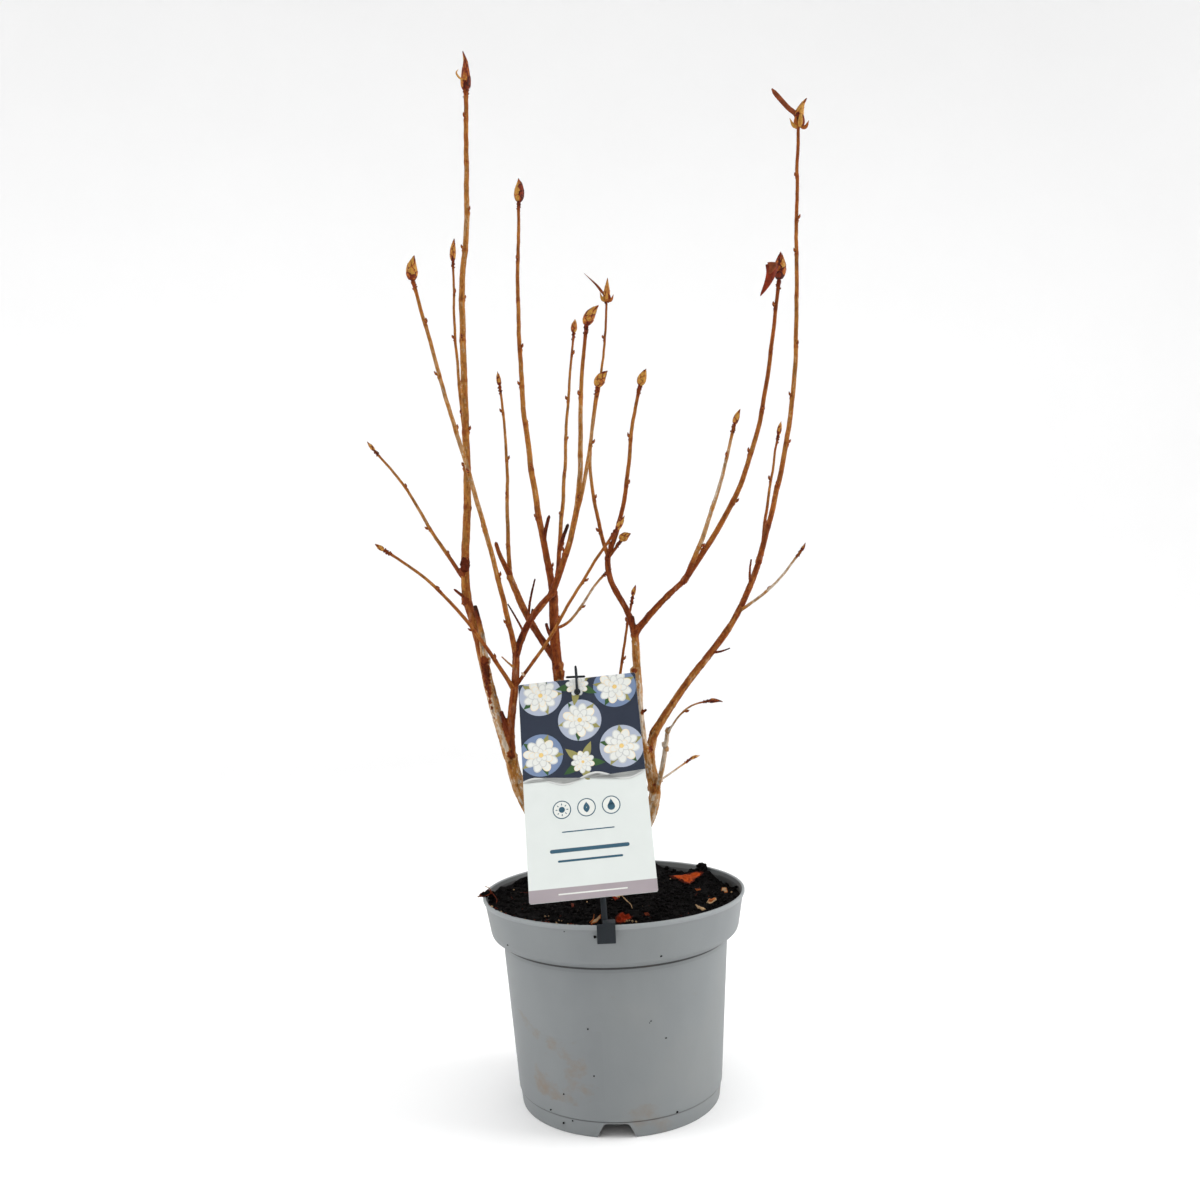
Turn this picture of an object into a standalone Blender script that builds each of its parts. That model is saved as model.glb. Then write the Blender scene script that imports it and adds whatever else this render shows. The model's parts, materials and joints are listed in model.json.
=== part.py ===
"""A bare azalea shrub in its round nursery pot, with a label card held over the rim.

Named sizes are in millimetres and become metres where the shapes are made. The pot stands on
z = 0 with its axis on z, and the label leans over the rim at the front, towards -y.
Each stem, bough and shoot is one limb: a chord from its root to its tip, bent by one arch
and one S. Shoots that grow from one bough's tip are joined into one solid.
"""

import math
import random
from collections import namedtuple

import bmesh
import bpy
from mathutils import Vector

MM = 0.001
SEED = 27
GAP = 0.3

# Pot, a thin-walled moulding with a deep collar and a lip that turns out at the rim
POT_SIDES = 56
POT_HEIGHT = 148.0
RIM_RADIUS = 96.6
LIP_HEIGHT = 4.0
LIP_SLOPE = 1.4
COLLAR_TOP_RADIUS = 95.1
COLLAR_DEPTH = 32.0
COLLAR_FOOT_RADIUS = 91.2
COLLAR_CHAMFER = 6.5
COLLAR_UNDERCUT = 2.2
BODY_TOP_RADIUS = 82.8
BODY_FOOT_RADIUS = 74.5
POT_WALL = 1.8
POT_EDGE = 0.8
FOOT_RADIUS = 72.8
FOOT_STEP_RADIUS = 73.8
FOOT_HEIGHT = 11.0
FLOOR_RAISED = 11.6
FLOOR_FILLET = 2.5
DISH_RADIUS = 24.0
DISH_SLOPE = 7.0
NOTCH_COUNT = 3
NOTCH_START = math.radians(-93.25)
NOTCH_HEIGHT = 9.8
NOTCH_TOP_WIDTH = 16.6
NOTCH_FOOT_WIDTH = 26.5
NOTCH_DEPTH = 12.0
DRAIN_COUNT = 6
DRAIN_START = math.radians(60.0)
DRAIN_RADIUS = 4.5
DRAIN_SIDES = 10
DRAIN_RING_RADIUS = 50.0
CUT_SPARE = 4.0

# Soil, filled to just under the rim
SOIL_EDGE_HEIGHT = 142.6
SOIL_CROWN_HEIGHT = 143.0
SOIL_LUMPS = 1.3
SOIL_FINE_LUMPS = 0.6
SOIL_LUMP_TURN = 1.3
SOIL_WAVES = (0.11, 0.09, 0.21, 0.17)
SOIL_FLAT_RADIUS = 17.0
SOIL_FADE = 20.0
SOIL_RINGS = (82.0, 68.0, 52.0, 34.0, SOIL_FLAT_RADIUS)

# Label card, leaning back on its holder
CARD_WIDTH = 85.5
CARD_LENGTH = 156.4
CARD_THICKNESS = 0.8
CARD_CORNER = 1.5
CARD_FOOT = (-13.5, -90.0, 164.5)
CARD_LEAN = 25.1
CARD_SPIN = -4.6
CARD_YAW = -4.2
HOLE_RADIUS = 2.8
HOLE_HEIGHT = 145.5
HOLE_SIDES = 14

# Label holder: rim clip, round stem, crossbar and pin
CLIP_X = -6.0
CLIP_WIDTH = 12.2
CLIP_DROP = 12.4
CLIP_ROOF_WIDTH = 8.2
CLIP_ROOF_SHIFT = 2.0
CLIP_THICKNESS = 1.8
CLIP_INSIDE_DROP = 5.0
CLIP_TONGUE_REACH = 90.2
STEM_RADIUS = 2.0
STEM_BEHIND = 3.0
STEM_SIDES = 10
STEM_TAPER = (1.0, 1.0, 0.9, 0.7)
STEM_FOOT = (-0.6, 0.66, -1.0)
STEM_BEND = (5.5, 12.0)
CROSSBAR_LENGTH = 14.2
CROSSBAR_RADIUS = 0.85
CROSSBAR_RISE = 2.9
CROSSBAR_SHIFT = -0.8
CROSSBAR_TILT = 0.5
PIN_RISE = 6.2
PIN_STEPS = (0.9, 0.7)
PIN_CLEARANCE = 0.2
PIN_TAIL = 2.0
KNOB_RADIUS = 2.3
KNOB_DEPTH = 1.4
KNOB_SIDES = 12

# Root crown at soil level, where the three stems part
CROWN_FLARE_RADIUS = 13.5
CROWN_WAIST_RADIUS = 9.0
CROWN_HEIGHT = 22.0
CROWN_LEAN = (-2.0, 4.0)
CROWN_FOOT = (0.0, 6.0)
CROWN_SIDES = 20
CROWN_LEVELS = 6
CROWN_FLARE_CURVE = 2.2
CROWN_TOP_SHARE = 0.72
CROWN_BUTTRESSES = 5
BUTTRESS_DEPTH = 0.13
BUTTRESS_TURN = 0.7
FORK_SINK = 5.0
FORK_SPREAD = 0.45

# Limbs
BOUGH_SIDES = 8
SHOOT_SIDES = 6
TWIG_SIDES = 5
BOUGH_RING_STEP = 14.0
SHOOT_RING_STEP = 21.0
THICK_RADIUS = 2.4
THIN_RADIUS = 0.8
DEPTH_ARCH = 0.12
ROOT_SWELL = 0.22
ROOT_SWELL_LENGTH = 7.0
BUD_PROFILE = [(0.12, 0.72), (0.36, 1.0), (0.7, 0.62), (1.0, 0.0)]
SIDE_BUD_STEP = 34.0
SIDE_BUD_LENGTH = 4.2
SIDE_BUD_RADIUS = 1.0
SIDE_BUD_LEAN = 1.1
SIDE_BUD_WAIST = 0.45
SIDE_BUD_SIDES = 4
LEAF_TURN = math.radians(137.5)

# A limb leaves its parent at a share of the parent's length. Its tip is a point, its arch and
# its S are sideways and upward offsets at mid length and at a quarter, and its radii are at root
# and tip. A bud reaches on from the tip by an offset of its own and swells to its radius, and
# None is a cut end.
Limb = namedtuple("Limb", "name parent at tip arch ess root_radius tip_radius bud")
Bud = namedtuple("Bud", "reach radius")

BOUGHS = [
    Limb("bough_left", "trunk", 1.0, (-72, -12, 250), (-15, -5), (0, 0), 6.2, 4.7, None),
    Limb("bough_left_outer", "bough_left", 1.0, (-101, -5, 367), (-1, 0), (-1, 0), 4.3, 3.3, None),
    Limb("bough_left_inner", "bough_left", 0.97, (-65, -16, 325), (-1, 0), (-1, 0), 3.4, 2.6, None),
    Limb("bough_cross", "bough_left_inner", 1.0, (-37, -21, 368), (-3, 2), (0, 0), 2.6, 2.4, None),
    Limb("bough_centre", "trunk", 1.0, (-36, -14, 368), (-8, 0), (2, 0), 6.0, 3.2, None),
    Limb("bough_centre_left", "bough_centre", 0.77, (-69, 3, 383), (-3, -1), (0, 0), 2.8, 2.5, None),
    Limb("bough_right", "trunk", 1.0, (35, 7, 257), (15, -3), (0.7, 0), 6.2, 3.4, None),
    Limb("bough_right_outer", "bough_right", 1.0, (123, 30, 389), (5, -4), (-1, 1), 3.0, 2.3, None),
    Limb("bough_right_inner", "bough_right", 0.66, (23, -3, 337), (-4, 0), (-1, 0), 3.3, 2.9, None),
    Limb("bough_right_upper", "bough_right_inner", 1.0, (5, -3, 394), (-2, 0), (2, 0), 2.4, 2.2, None),
    Limb("bough_right_arching", "bough_right_inner", 1.0, (60, -16, 374), (-1, 1), (0, 0), 2.6, 2.2, None),
]

# Shoots that grow from one place are one mass. The first is the stem that the others leave.
MASSES = {
    "shoots_left_tall": [
        Limb("tall", "bough_left_outer", 1.0, (-92, 25, 769), (-2, 0), (0, 0), 3.2, 1.7, Bud((0.5, 2.5, 33), 4.1)),
        Limb("tall_side", "tall", 0.28, (-110, 49, 641), (-3, 0), (0, 0), 1.4, 0.9, Bud((1, 6, 23), 1.9)),
        Limb("far_left", "tall", 0.035, (-177, 46, 490), (-1, 4), (-1, -1), 1.6, 0.9, Bud((-7, 4, 9), 1.6)),
        Limb("tall_twig", "tall", 0.0, (-110, -9, 375), (0, 0), (0, 0), 1.2, 0.9, None),
    ],
    "shoots_left_front": [
        Limb("front", "bough_left_inner", 1.0, (-121, -76, 583), (2.5, 0), (1, 0), 2.0, 1.2, Bud((2, -4, 17), 4.1)),
    ],
    "shoots_left_low": [
        Limb("low_left", "bough_left_inner", 0.66, (-147, -73, 400), (2, 13), (0, 0), 1.6, 0.9, Bud((-6, -3, 4.5), 1.7)),
    ],
    "shoots_middle_low": [
        Limb("low_middle", "bough_left_inner", 0.69, (11, -58, 409), (1, 0), (0, -2), 1.3, 1.0, Bud((6.5, -4, 10), 2)),
        Limb("low_stub", "low_middle", 0.09, (-60, -30, 312), (0, 0), (0, 0), 1.0, 0.8, None),
    ],
    "shoots_centre_back": [
        Limb("centre", "bough_centre", 1.0, (-54, 31, 680), (-10.5, 0), (0, 0), 2.6, 1.2, Bud((1.3, 3, 21), 4.2)),
        Limb("centre_dead", "centre", 0.12, (-37, -11, 427), (-1, 0), (0, 0), 1.5, 1.2, None),
    ],
    "shoots_centre_front": [
        Limb("fork", "bough_cross", 1.0, (-4, -61, 552), (8.5, 0), (3.5, 0), 2.4, 1.2, Bud((9.5, -4, 13.5), 4)),
        Limb("fork_right", "fork", 0.27, (2, -68, 507), (2.3, 0), (0.5, 0), 1.6, 1.1, Bud((7.5, -5, 10.5), 3.8)),
        Limb("fork_left", "fork", 0.06, (-15, 50, 580), (-0.5, 0), (0.5, 0), 1.7, 0.9, Bud((1.7, 4.6, 13), 2.6)),
        Limb("fork_dead", "fork_left", 0.115, (-23, -21, 419), (0, 0), (0, 0), 1.5, 1.2, None),
    ],
    "shoots_centre_left": [
        Limb("slim", "bough_centre_left", 1.0, (-74, 28, 534), (1.5, 0), (-1, 0), 1.7, 0.9, Bud((-1.5, 2, 12.5), 1.9)),
        Limb("slim_dead", "slim", 0.01, (-78, -7, 409), (-1, 0), (0, 0), 2.0, 1.4, None),
    ],
    "shoots_centre_low": [
        Limb("low_right", "bough_centre", 0.88, (4, 13, 384), (1, -3), (0, -3), 1.1, 0.9, Bud((4, 2, 3), 1.4)),
    ],
    "shoots_right_middle": [
        Limb("upright", "bough_right_upper", 1.0, (33, -30, 516), (3, 0), (2, 0), 1.8, 1.2, Bud((5, -3, 12), 3.4)),
        Limb("upright_back", "upright", 0.01, (13, 67, 614), (-11, 0), (-4.5, 0), 1.5, 0.9, Bud((1.5, 6, 18), 2.8)),
        Limb("upright_bud", "upright", 0.06, (15, -8, 406), (2, -2), (0, 0), 1.0, 0.8, Bud((8, -3, 5), 3.4)),
        Limb("upright_dead", "upright", 0.03, (7, -9, 407), (0, 0), (0, 0), 1.0, 0.7, None),
    ],
    "shoots_right_arching": [
        Limb("arching", "bough_right_arching", 1.0, (131, -63, 578), (16.5, -7), (2, 0), 2.2, 1.2, Bud((1.3, -4, 18), 4)),
        Limb("arching_inner", "arching", 0.02, (94, -75, 476), (3, 0), (0, 0), 1.9, 1.0, Bud((4, -6, 10), 2.1)),
    ],
    "shoots_right_tall": [
        Limb("right", "bough_right_outer", 1.0, (174, 51, 749), (14, 0), (3.5, 0), 2.2, 1.3, Bud((8, 1, 17), 4)),
        Limb("right_inner", "right", 0.02, (150, 73, 495), (0, 0), (0, 0), 1.4, 0.9, Bud((4, 5, 13), 2)),
    ],
    "shoots_right_side": [
        Limb("side", "bough_right_outer", 0.73, (148, -11, 393), (2, -3), (0, 0), 1.2, 0.8, Bud((3, -4, 6), 1.3)),
    ],
    "spur_right_front": [
        Limb("spur", "bough_right", 0.64, (44, -11, 264), (1, -1), (0, 0), 2.0, 1.6, None),
        Limb("spur_twig", "spur", 0.97, (73, -38, 287), (-1.5, 6), (0, 0), 0.75, 0.6, Bud((9, -7, -0.5), 1.8)),
    ],
    "spur_right_back": [
        Limb("back_twig", "bough_right", 0.66, (63, 33, 237), (2, 0.5), (0, 0), 0.8, 0.6, Bud((9, 7, 2), 1.3)),
    ],
    "shoot_behind_label": [
        Limb("hidden", "trunk", 1.0, (23, 14, 365), (-6, 0), (0, 0), 1.5, 0.9, Bud((3, 0, 9), 1.7)),
    ],
}

# Colour, roughness and metallic value of each finish
FINISHES = {
    "pot_plastic": ((0.26, 0.28, 0.29, 1.0), 0.55, 0.0),
    "soil": ((0.012, 0.009, 0.007, 1.0), 0.95, 0.0),
    "label_card": ((0.72, 0.75, 0.74, 1.0), 0.4, 0.0),
    "holder_plastic": ((0.035, 0.042, 0.052, 1.0), 0.5, 0.0),
    "bark": ((0.32, 0.19, 0.10, 1.0), 0.8, 0.0),
    "shoots": ((0.40, 0.15, 0.045, 1.0), 0.6, 0.0),
}


def clear_scene():
    """Removes every object, so the script can be run again."""
    for old in list(bpy.data.objects):
        bpy.data.objects.remove(old, do_unlink=True)


def finish(name, kind):
    """A material of its own for one object, in the colour of its kind."""
    colour, roughness, metallic = FINISHES[kind]
    material = bpy.data.materials.new(name + "_finish")
    material.use_nodes = True
    shader = material.node_tree.nodes["Principled BSDF"]
    shader.inputs["Base Color"].default_value = colour
    shader.inputs["Roughness"].default_value = roughness
    shader.inputs["Metallic"].default_value = metallic
    material.diffuse_color = colour
    return material


def mesh_from(name, points, faces):
    """A mesh of points in millimetres, with its faces turned outwards."""
    shape = bmesh.new()
    corners = [shape.verts.new(Vector(point) * MM) for point in points]
    for face in faces:
        shape.faces.new([corners[index] for index in face])
    bmesh.ops.recalc_face_normals(shape, faces=shape.faces)
    if shape.calc_volume(signed=True) < 0:
        bmesh.ops.reverse_faces(shape, faces=shape.faces)
    mesh = bpy.data.meshes.new(name)
    shape.to_mesh(mesh)
    shape.free()
    return mesh


def add_object(name, mesh):
    """Links one object to the scene."""
    made = bpy.data.objects.new(name, mesh)
    bpy.context.scene.collection.objects.link(made)
    return made


def smooth(thing, angle=40.0):
    """Shades round faces smooth and keeps the edges sharper than the angle."""
    thing.data.shade_smooth()
    thing.data.set_sharp_from_angle(angle=math.radians(angle))


def apply_modifiers(thing):
    """Keeps the evaluated shape as the object's own mesh."""
    bpy.context.view_layer.update()
    evaluated = thing.evaluated_get(bpy.context.evaluated_depsgraph_get())
    mesh = bpy.data.meshes.new_from_object(evaluated)
    thing.modifiers.clear()
    thing.data = mesh


def boolean(thing, tools, operation, solver="EXACT"):
    """Joins or cuts one object with several tools in one step, and removes the tools."""
    if not tools:
        return
    group = bpy.data.collections.new(thing.name + "_tools")
    bpy.context.scene.collection.children.link(group)
    for tool in tools:
        bpy.context.scene.collection.objects.unlink(tool)
        group.objects.link(tool)
        tool.hide_render = True
        tool.display_type = "WIRE"
    step = thing.modifiers.new(operation.lower(), "BOOLEAN")
    step.operation = operation
    step.operand_type = "COLLECTION"
    step.collection = group
    step.solver = solver
    apply_modifiers(thing)
    for tool in tools:
        bpy.data.objects.remove(tool, do_unlink=True)
    bpy.data.collections.remove(group)


def box(name, size, centre):
    """A block with its size and centre in millimetres."""
    half = [side / 2 for side in size]
    signs = [(-1, -1), (1, -1), (1, 1), (-1, 1)]
    points = [(x * half[0], y * half[1], z * half[2]) for z in (-1, 1) for x, y in signs]
    points = [tuple(value + shift for value, shift in zip(point, centre)) for point in points]
    sides = [(index, (index + 1) % 4, (index + 1) % 4 + 4, index + 4) for index in range(4)]
    return add_object(name, mesh_from(name, points, [(3, 2, 1, 0), (4, 5, 6, 7)] + sides))


def turned(name, profile, segments, lift=None):
    """A solid of revolution about z from a profile whose two ends lie on the axis."""
    points = [(0.0, 0.0, profile[0][1])]
    for radius, height in profile[1:-1]:
        for segment in range(segments):
            angle = math.tau * segment / segments
            x = radius * math.cos(angle)
            y = radius * math.sin(angle)
            points.append((x, y, height + (lift(x, y, height) if lift else 0.0)))
    points.append((0.0, 0.0, profile[-1][1]))
    last = len(points) - 1
    rings = len(profile) - 2
    faces = []
    for segment in range(segments):
        after = (segment + 1) % segments
        faces.append((0, 1 + segment, 1 + after))
        for ring in range(rings - 1):
            low = 1 + ring * segments
            high = low + segments
            faces.append((low + segment, high + segment, high + after, low + after))
        top = 1 + (rings - 1) * segments
        faces.append((last, top + after, top + segment))
    return add_object(name, mesh_from(name, points, faces))


# ---------------------------------------------------------------- pot and soil

def pot_inside(clearance):
    """The profile of the pot's inner wall from the dish in its floor up to the rim."""
    wall = POT_WALL + clearance
    floor = FLOOR_RAISED + wall
    collar_low = POT_HEIGHT - COLLAR_DEPTH
    return [
        (DISH_RADIUS, wall),
        (DISH_RADIUS + DISH_SLOPE, floor),
        (FOOT_RADIUS - FLOOR_FILLET - wall, floor),
        (BODY_FOOT_RADIUS - wall, floor + FLOOR_FILLET),
        (BODY_TOP_RADIUS - wall, collar_low + wall),
        (COLLAR_FOOT_RADIUS - wall, collar_low + COLLAR_CHAMFER),
        (COLLAR_TOP_RADIUS - wall, POT_HEIGHT - LIP_HEIGHT),
        (RIM_RADIUS - wall, POT_HEIGHT),
    ]


def pot_outside():
    """The profile of the pot's outer wall from the foot up to the lip of the rim."""
    collar_low = POT_HEIGHT - COLLAR_DEPTH
    chamfer_half = COLLAR_CHAMFER / 2
    return [
        (FOOT_RADIUS - POT_EDGE, 0.0),
        (FOOT_RADIUS, POT_EDGE),
        (FOOT_STEP_RADIUS, FOOT_HEIGHT),
        (BODY_FOOT_RADIUS, FOOT_HEIGHT + GAP),
        (BODY_TOP_RADIUS, collar_low - POT_EDGE),
        (BODY_TOP_RADIUS + COLLAR_UNDERCUT, collar_low),
        (COLLAR_FOOT_RADIUS - chamfer_half / 2, collar_low + chamfer_half),
        (COLLAR_FOOT_RADIUS, collar_low + COLLAR_CHAMFER),
        (COLLAR_TOP_RADIUS, POT_HEIGHT - LIP_HEIGHT),
        (RIM_RADIUS, POT_HEIGHT - LIP_HEIGHT + LIP_SLOPE),
        (RIM_RADIUS, POT_HEIGHT - POT_EDGE),
        (RIM_RADIUS - POT_EDGE / 2, POT_HEIGHT),
    ]


def underside():
    """The profile of the hollow foot: dish in the centre, raised floor, then the foot's ring."""
    dish = DISH_RADIUS - POT_EDGE
    ring = FOOT_RADIUS - POT_WALL - POT_EDGE
    return [(0.0, 0.0), (dish, 0.0), (dish + DISH_SLOPE, FLOOR_RAISED), (ring, FLOOR_RAISED), (ring, 0.0)]


def notch_cutter(index):
    """A wedge that opens the foot's ring, narrower at the top."""
    angle = NOTCH_START + math.tau * index / NOTCH_COUNT
    outline = [
        (-NOTCH_FOOT_WIDTH / 2, -POT_EDGE),
        (NOTCH_FOOT_WIDTH / 2, -POT_EDGE),
        (NOTCH_TOP_WIDTH / 2, NOTCH_HEIGHT),
        (-NOTCH_TOP_WIDTH / 2, NOTCH_HEIGHT),
    ]
    near = FOOT_RADIUS - NOTCH_DEPTH
    far = FOOT_RADIUS + NOTCH_DEPTH
    points = []
    for radius in (near, far):
        for across, height in outline:
            x = radius * math.cos(angle) - across * math.sin(angle)
            y = radius * math.sin(angle) + across * math.cos(angle)
            points.append((x, y, height))
    faces = [(3, 2, 1, 0), (4, 5, 6, 7)]
    faces += [(side, (side + 1) % 4, (side + 1) % 4 + 4, side + 4) for side in range(4)]
    name = "notch_%d" % index
    return add_object(name, mesh_from(name, points, faces))


def drain_cutter(index):
    """A round hole through the raised floor."""
    angle = DRAIN_START + math.tau * index / DRAIN_COUNT
    sides = DRAIN_SIDES
    points = []
    for height in (FLOOR_RAISED - CUT_SPARE, FLOOR_RAISED + POT_WALL + CUT_SPARE):
        for side in range(sides):
            turn = math.tau * side / sides
            x = DRAIN_RING_RADIUS * math.cos(angle) + DRAIN_RADIUS * math.cos(turn)
            y = DRAIN_RING_RADIUS * math.sin(angle) + DRAIN_RADIUS * math.sin(turn)
            points.append((x, y, height))
    faces = [tuple(reversed(range(sides))), tuple(range(sides, 2 * sides))]
    faces += [(side, (side + 1) % sides, (side + 1) % sides + sides, side + sides) for side in range(sides)]
    name = "drain_%d" % index
    return add_object(name, mesh_from(name, points, faces))


def make_pot():
    """The pot with its notched foot and drained floor."""
    inner = list(reversed(pot_inside(0.0)))
    profile = underside() + pot_outside() + inner + [(0.0, POT_WALL)]
    pot = turned("pot", profile, POT_SIDES)
    cutters = [notch_cutter(index) for index in range(NOTCH_COUNT)]
    cutters += [drain_cutter(index) for index in range(DRAIN_COUNT)]
    boolean(pot, cutters, "DIFFERENCE")
    smooth(pot, 28.0)
    pot.data.materials.clear()
    pot.data.materials.append(finish("pot", "pot_plastic"))


def inside_radius(height, clearance):
    """How far from the axis the pot's inner wall stands at a height, less a clearance."""
    profile = pot_inside(clearance)
    for (low_radius, low), (high_radius, high) in zip(profile, profile[1:]):
        if low <= height <= high and high > low:
            return low_radius + (high_radius - low_radius) * (height - low) / (high - low)
    return profile[-1][0]


def soil_bumps(x, y, height):
    """Uneven lumps on the soil's top, with level ground under the root crown."""
    if height < SOIL_EDGE_HEIGHT:
        return 0.0
    radius = math.hypot(x, y)
    fade = min(1.0, max(0.0, (radius - SOIL_FLAT_RADIUS) / SOIL_FADE))
    broad = math.sin(x * SOIL_WAVES[0] + SOIL_LUMP_TURN) * math.cos(y * SOIL_WAVES[1])
    fine = math.sin(x * SOIL_WAVES[2] - y * SOIL_WAVES[3])
    return SOIL_LUMPS * fade * (broad + SOIL_FINE_LUMPS * fine)


def make_soil():
    """The root ball and compost, clear of the wall, with a low heap in the middle."""
    inside = [point for point in pot_inside(GAP) if point[1] < SOIL_EDGE_HEIGHT]
    edge = inside_radius(SOIL_EDGE_HEIGHT, GAP)
    rise = SOIL_CROWN_HEIGHT - SOIL_EDGE_HEIGHT
    top = [(edge, SOIL_EDGE_HEIGHT)]
    for radius in SOIL_RINGS:
        heap = 1.0 - (radius - SOIL_FLAT_RADIUS) / (edge - SOIL_FLAT_RADIUS)
        top.append((radius, SOIL_EDGE_HEIGHT + rise * math.sin(heap * math.pi / 2)))
    profile = [(0.0, POT_WALL + GAP)] + inside + top + [(0.0, SOIL_CROWN_HEIGHT)]
    soil = turned("soil", profile, POT_SIDES, soil_bumps)
    smooth(soil, 30.0)
    soil.data.materials.append(finish("soil", "soil"))


# ---------------------------------------------------------------- label card and holder

def card_outline():
    """The card's outline with rounded corners, anticlockwise, seen from the front."""
    half = CARD_WIDTH / 2
    corners = [
        (half - CARD_CORNER, CARD_CORNER, -90.0),
        (half - CARD_CORNER, CARD_LENGTH - CARD_CORNER, 0.0),
        (-half + CARD_CORNER, CARD_LENGTH - CARD_CORNER, 90.0),
        (-half + CARD_CORNER, CARD_CORNER, 180.0),
    ]
    outline = []
    for x, z, start in corners:
        for step in range(5):
            angle = math.radians(start + 22.5 * step)
            outline.append((x + CARD_CORNER * math.cos(angle), z + CARD_CORNER * math.sin(angle)))
    return outline


def prism(name, outline, front, back):
    """An outline in x and z, made solid from y = front to y = back."""
    count = len(outline)
    points = [(x, front, z) for x, z in outline] + [(x, back, z) for x, z in outline]
    faces = [tuple(range(count)), tuple(reversed(range(count, 2 * count)))]
    faces += [(side, side + count, (side + 1) % count + count, (side + 1) % count) for side in range(count)]
    return add_object(name, mesh_from(name, points, faces))


def disc_outline(radius, centre_height, sides):
    """A round outline on the card's centre line."""
    turns = [math.tau * side / sides for side in range(sides)]
    return [(radius * math.cos(turn), centre_height + radius * math.sin(turn)) for turn in turns]


def label_frame():
    """The empty that carries the label: foot of the card, leaning back over the soil."""
    frame = bpy.data.objects.new("label_frame", None)
    bpy.context.scene.collection.objects.link(frame)
    frame.rotation_mode = "YXZ"
    frame.rotation_euler = (math.radians(-CARD_LEAN), math.radians(CARD_SPIN), math.radians(CARD_YAW))
    frame.location = Vector(CARD_FOOT) * MM
    bpy.context.view_layer.update()
    return frame


def make_card(frame):
    """The plain card with its hanging hole."""
    card = prism("label_card", card_outline(), 0.0, CARD_THICKNESS)
    outline = disc_outline(HOLE_RADIUS, HOLE_HEIGHT, HOLE_SIDES)
    hole = prism("hole", outline, -CUT_SPARE, CUT_SPARE + CARD_THICKNESS)
    boolean(card, [hole], "DIFFERENCE")
    card.data.materials.clear()
    card.data.materials.append(finish("label_card", "label_card"))
    card.parent = frame


def rod(name, start, end, radius, sides=STEM_SIDES):
    """A straight round rod between two points."""
    line = Vector(end) - Vector(start)
    path = [Vector(start), Vector(start) + line * 0.5, Vector(end)]
    return add_object(name, tube_mesh(name, path, [radius] * 3, sides))


def make_stem(world, bar_y, top):
    """The round stem from the clip's tongue up behind the card, thinner towards its top."""
    foot = Vector((CLIP_X + STEM_FOOT[0], STEM_FOOT[1] - CLIP_TONGUE_REACH, POT_HEIGHT + STEM_FOOT[2]))
    bend = world((STEM_BEND[0], STEM_BEHIND + STEM_RADIUS, STEM_BEND[1]))
    head = world((0.0, bar_y, top))
    path = [foot, bend, bend.lerp(head, 0.5), head]
    radii = [STEM_RADIUS * share for share in STEM_TAPER]
    return add_object("label_holder", tube_mesh("label_holder", path, radii, STEM_SIDES))


def make_head(world, bar_y, bar):
    """The crossbar over the card's top edge, and the pin that comes over it down to the hole."""
    half = CROSSBAR_LENGTH / 2
    left = world((CROSSBAR_SHIFT - half, bar_y, bar + CROSSBAR_TILT))
    right = world((CROSSBAR_SHIFT + half, bar_y, bar - CROSSBAR_TILT))
    top = bar + PIN_RISE
    front = -GAP - CROSSBAR_RADIUS - PIN_CLEARANCE
    over, up = PIN_STEPS
    thin = CROSSBAR_RADIUS
    return [
        rod("crossbar", left, right, thin),
        rod("pin_back", world((0.0, bar_y, bar - PIN_TAIL)), world((0.0, bar_y, top)), thin),
        rod("pin_over", world((0.0, bar_y + over, top)), world((0.0, front - over, top)), thin),
        rod("pin_front", world((0.0, front, top + up)), world((0.0, front, HOLE_HEIGHT)), thin),
        rod(
            "knob",
            world((0.0, front - KNOB_DEPTH, HOLE_HEIGHT)),
            world((0.0, bar_y, HOLE_HEIGHT)),
            KNOB_RADIUS,
            KNOB_SIDES,
        ),
    ]


def make_clip():
    """The clip over the rim: its roof, the face outside the pot and the tongue inside it."""
    outer_y = -(RIM_RADIUS + GAP + CLIP_THICKNESS / 2)
    inner_y = -CLIP_TONGUE_REACH
    top_z = POT_HEIGHT + GAP + CLIP_THICKNESS / 2
    roof_x = CLIP_X + CLIP_ROOF_SHIFT
    roof = (CLIP_ROOF_WIDTH, inner_y - outer_y + CLIP_THICKNESS, CLIP_THICKNESS)
    front = (CLIP_WIDTH, CLIP_THICKNESS, CLIP_DROP)
    back = (CLIP_ROOF_WIDTH, CLIP_THICKNESS, CLIP_INSIDE_DROP)
    return [
        box("clip_roof", roof, (roof_x, (inner_y + outer_y) / 2, top_z)),
        box("clip_front", front, (CLIP_X, outer_y, top_z - CLIP_DROP / 2)),
        box("clip_back", back, (roof_x, inner_y, top_z - CLIP_INSIDE_DROP / 2)),
    ]


def make_holder(frame):
    """Clip over the rim, stem up behind the card, crossbar and the pin through its hole."""
    to_world = frame.matrix_world

    def world(local):
        return (to_world @ (Vector(local) * MM)) / MM

    bar_y = CARD_THICKNESS + GAP + STEM_RADIUS
    bar = CARD_LENGTH + CROSSBAR_RISE
    holder = make_stem(world, bar_y, bar + CROSSBAR_RADIUS)
    boolean(holder, make_head(world, bar_y, bar) + make_clip(), "UNION")
    smooth(holder, 35.0)
    holder.data.materials.clear()
    holder.data.materials.append(finish("label_holder", "holder_plastic"))


# ---------------------------------------------------------------- limbs

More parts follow.
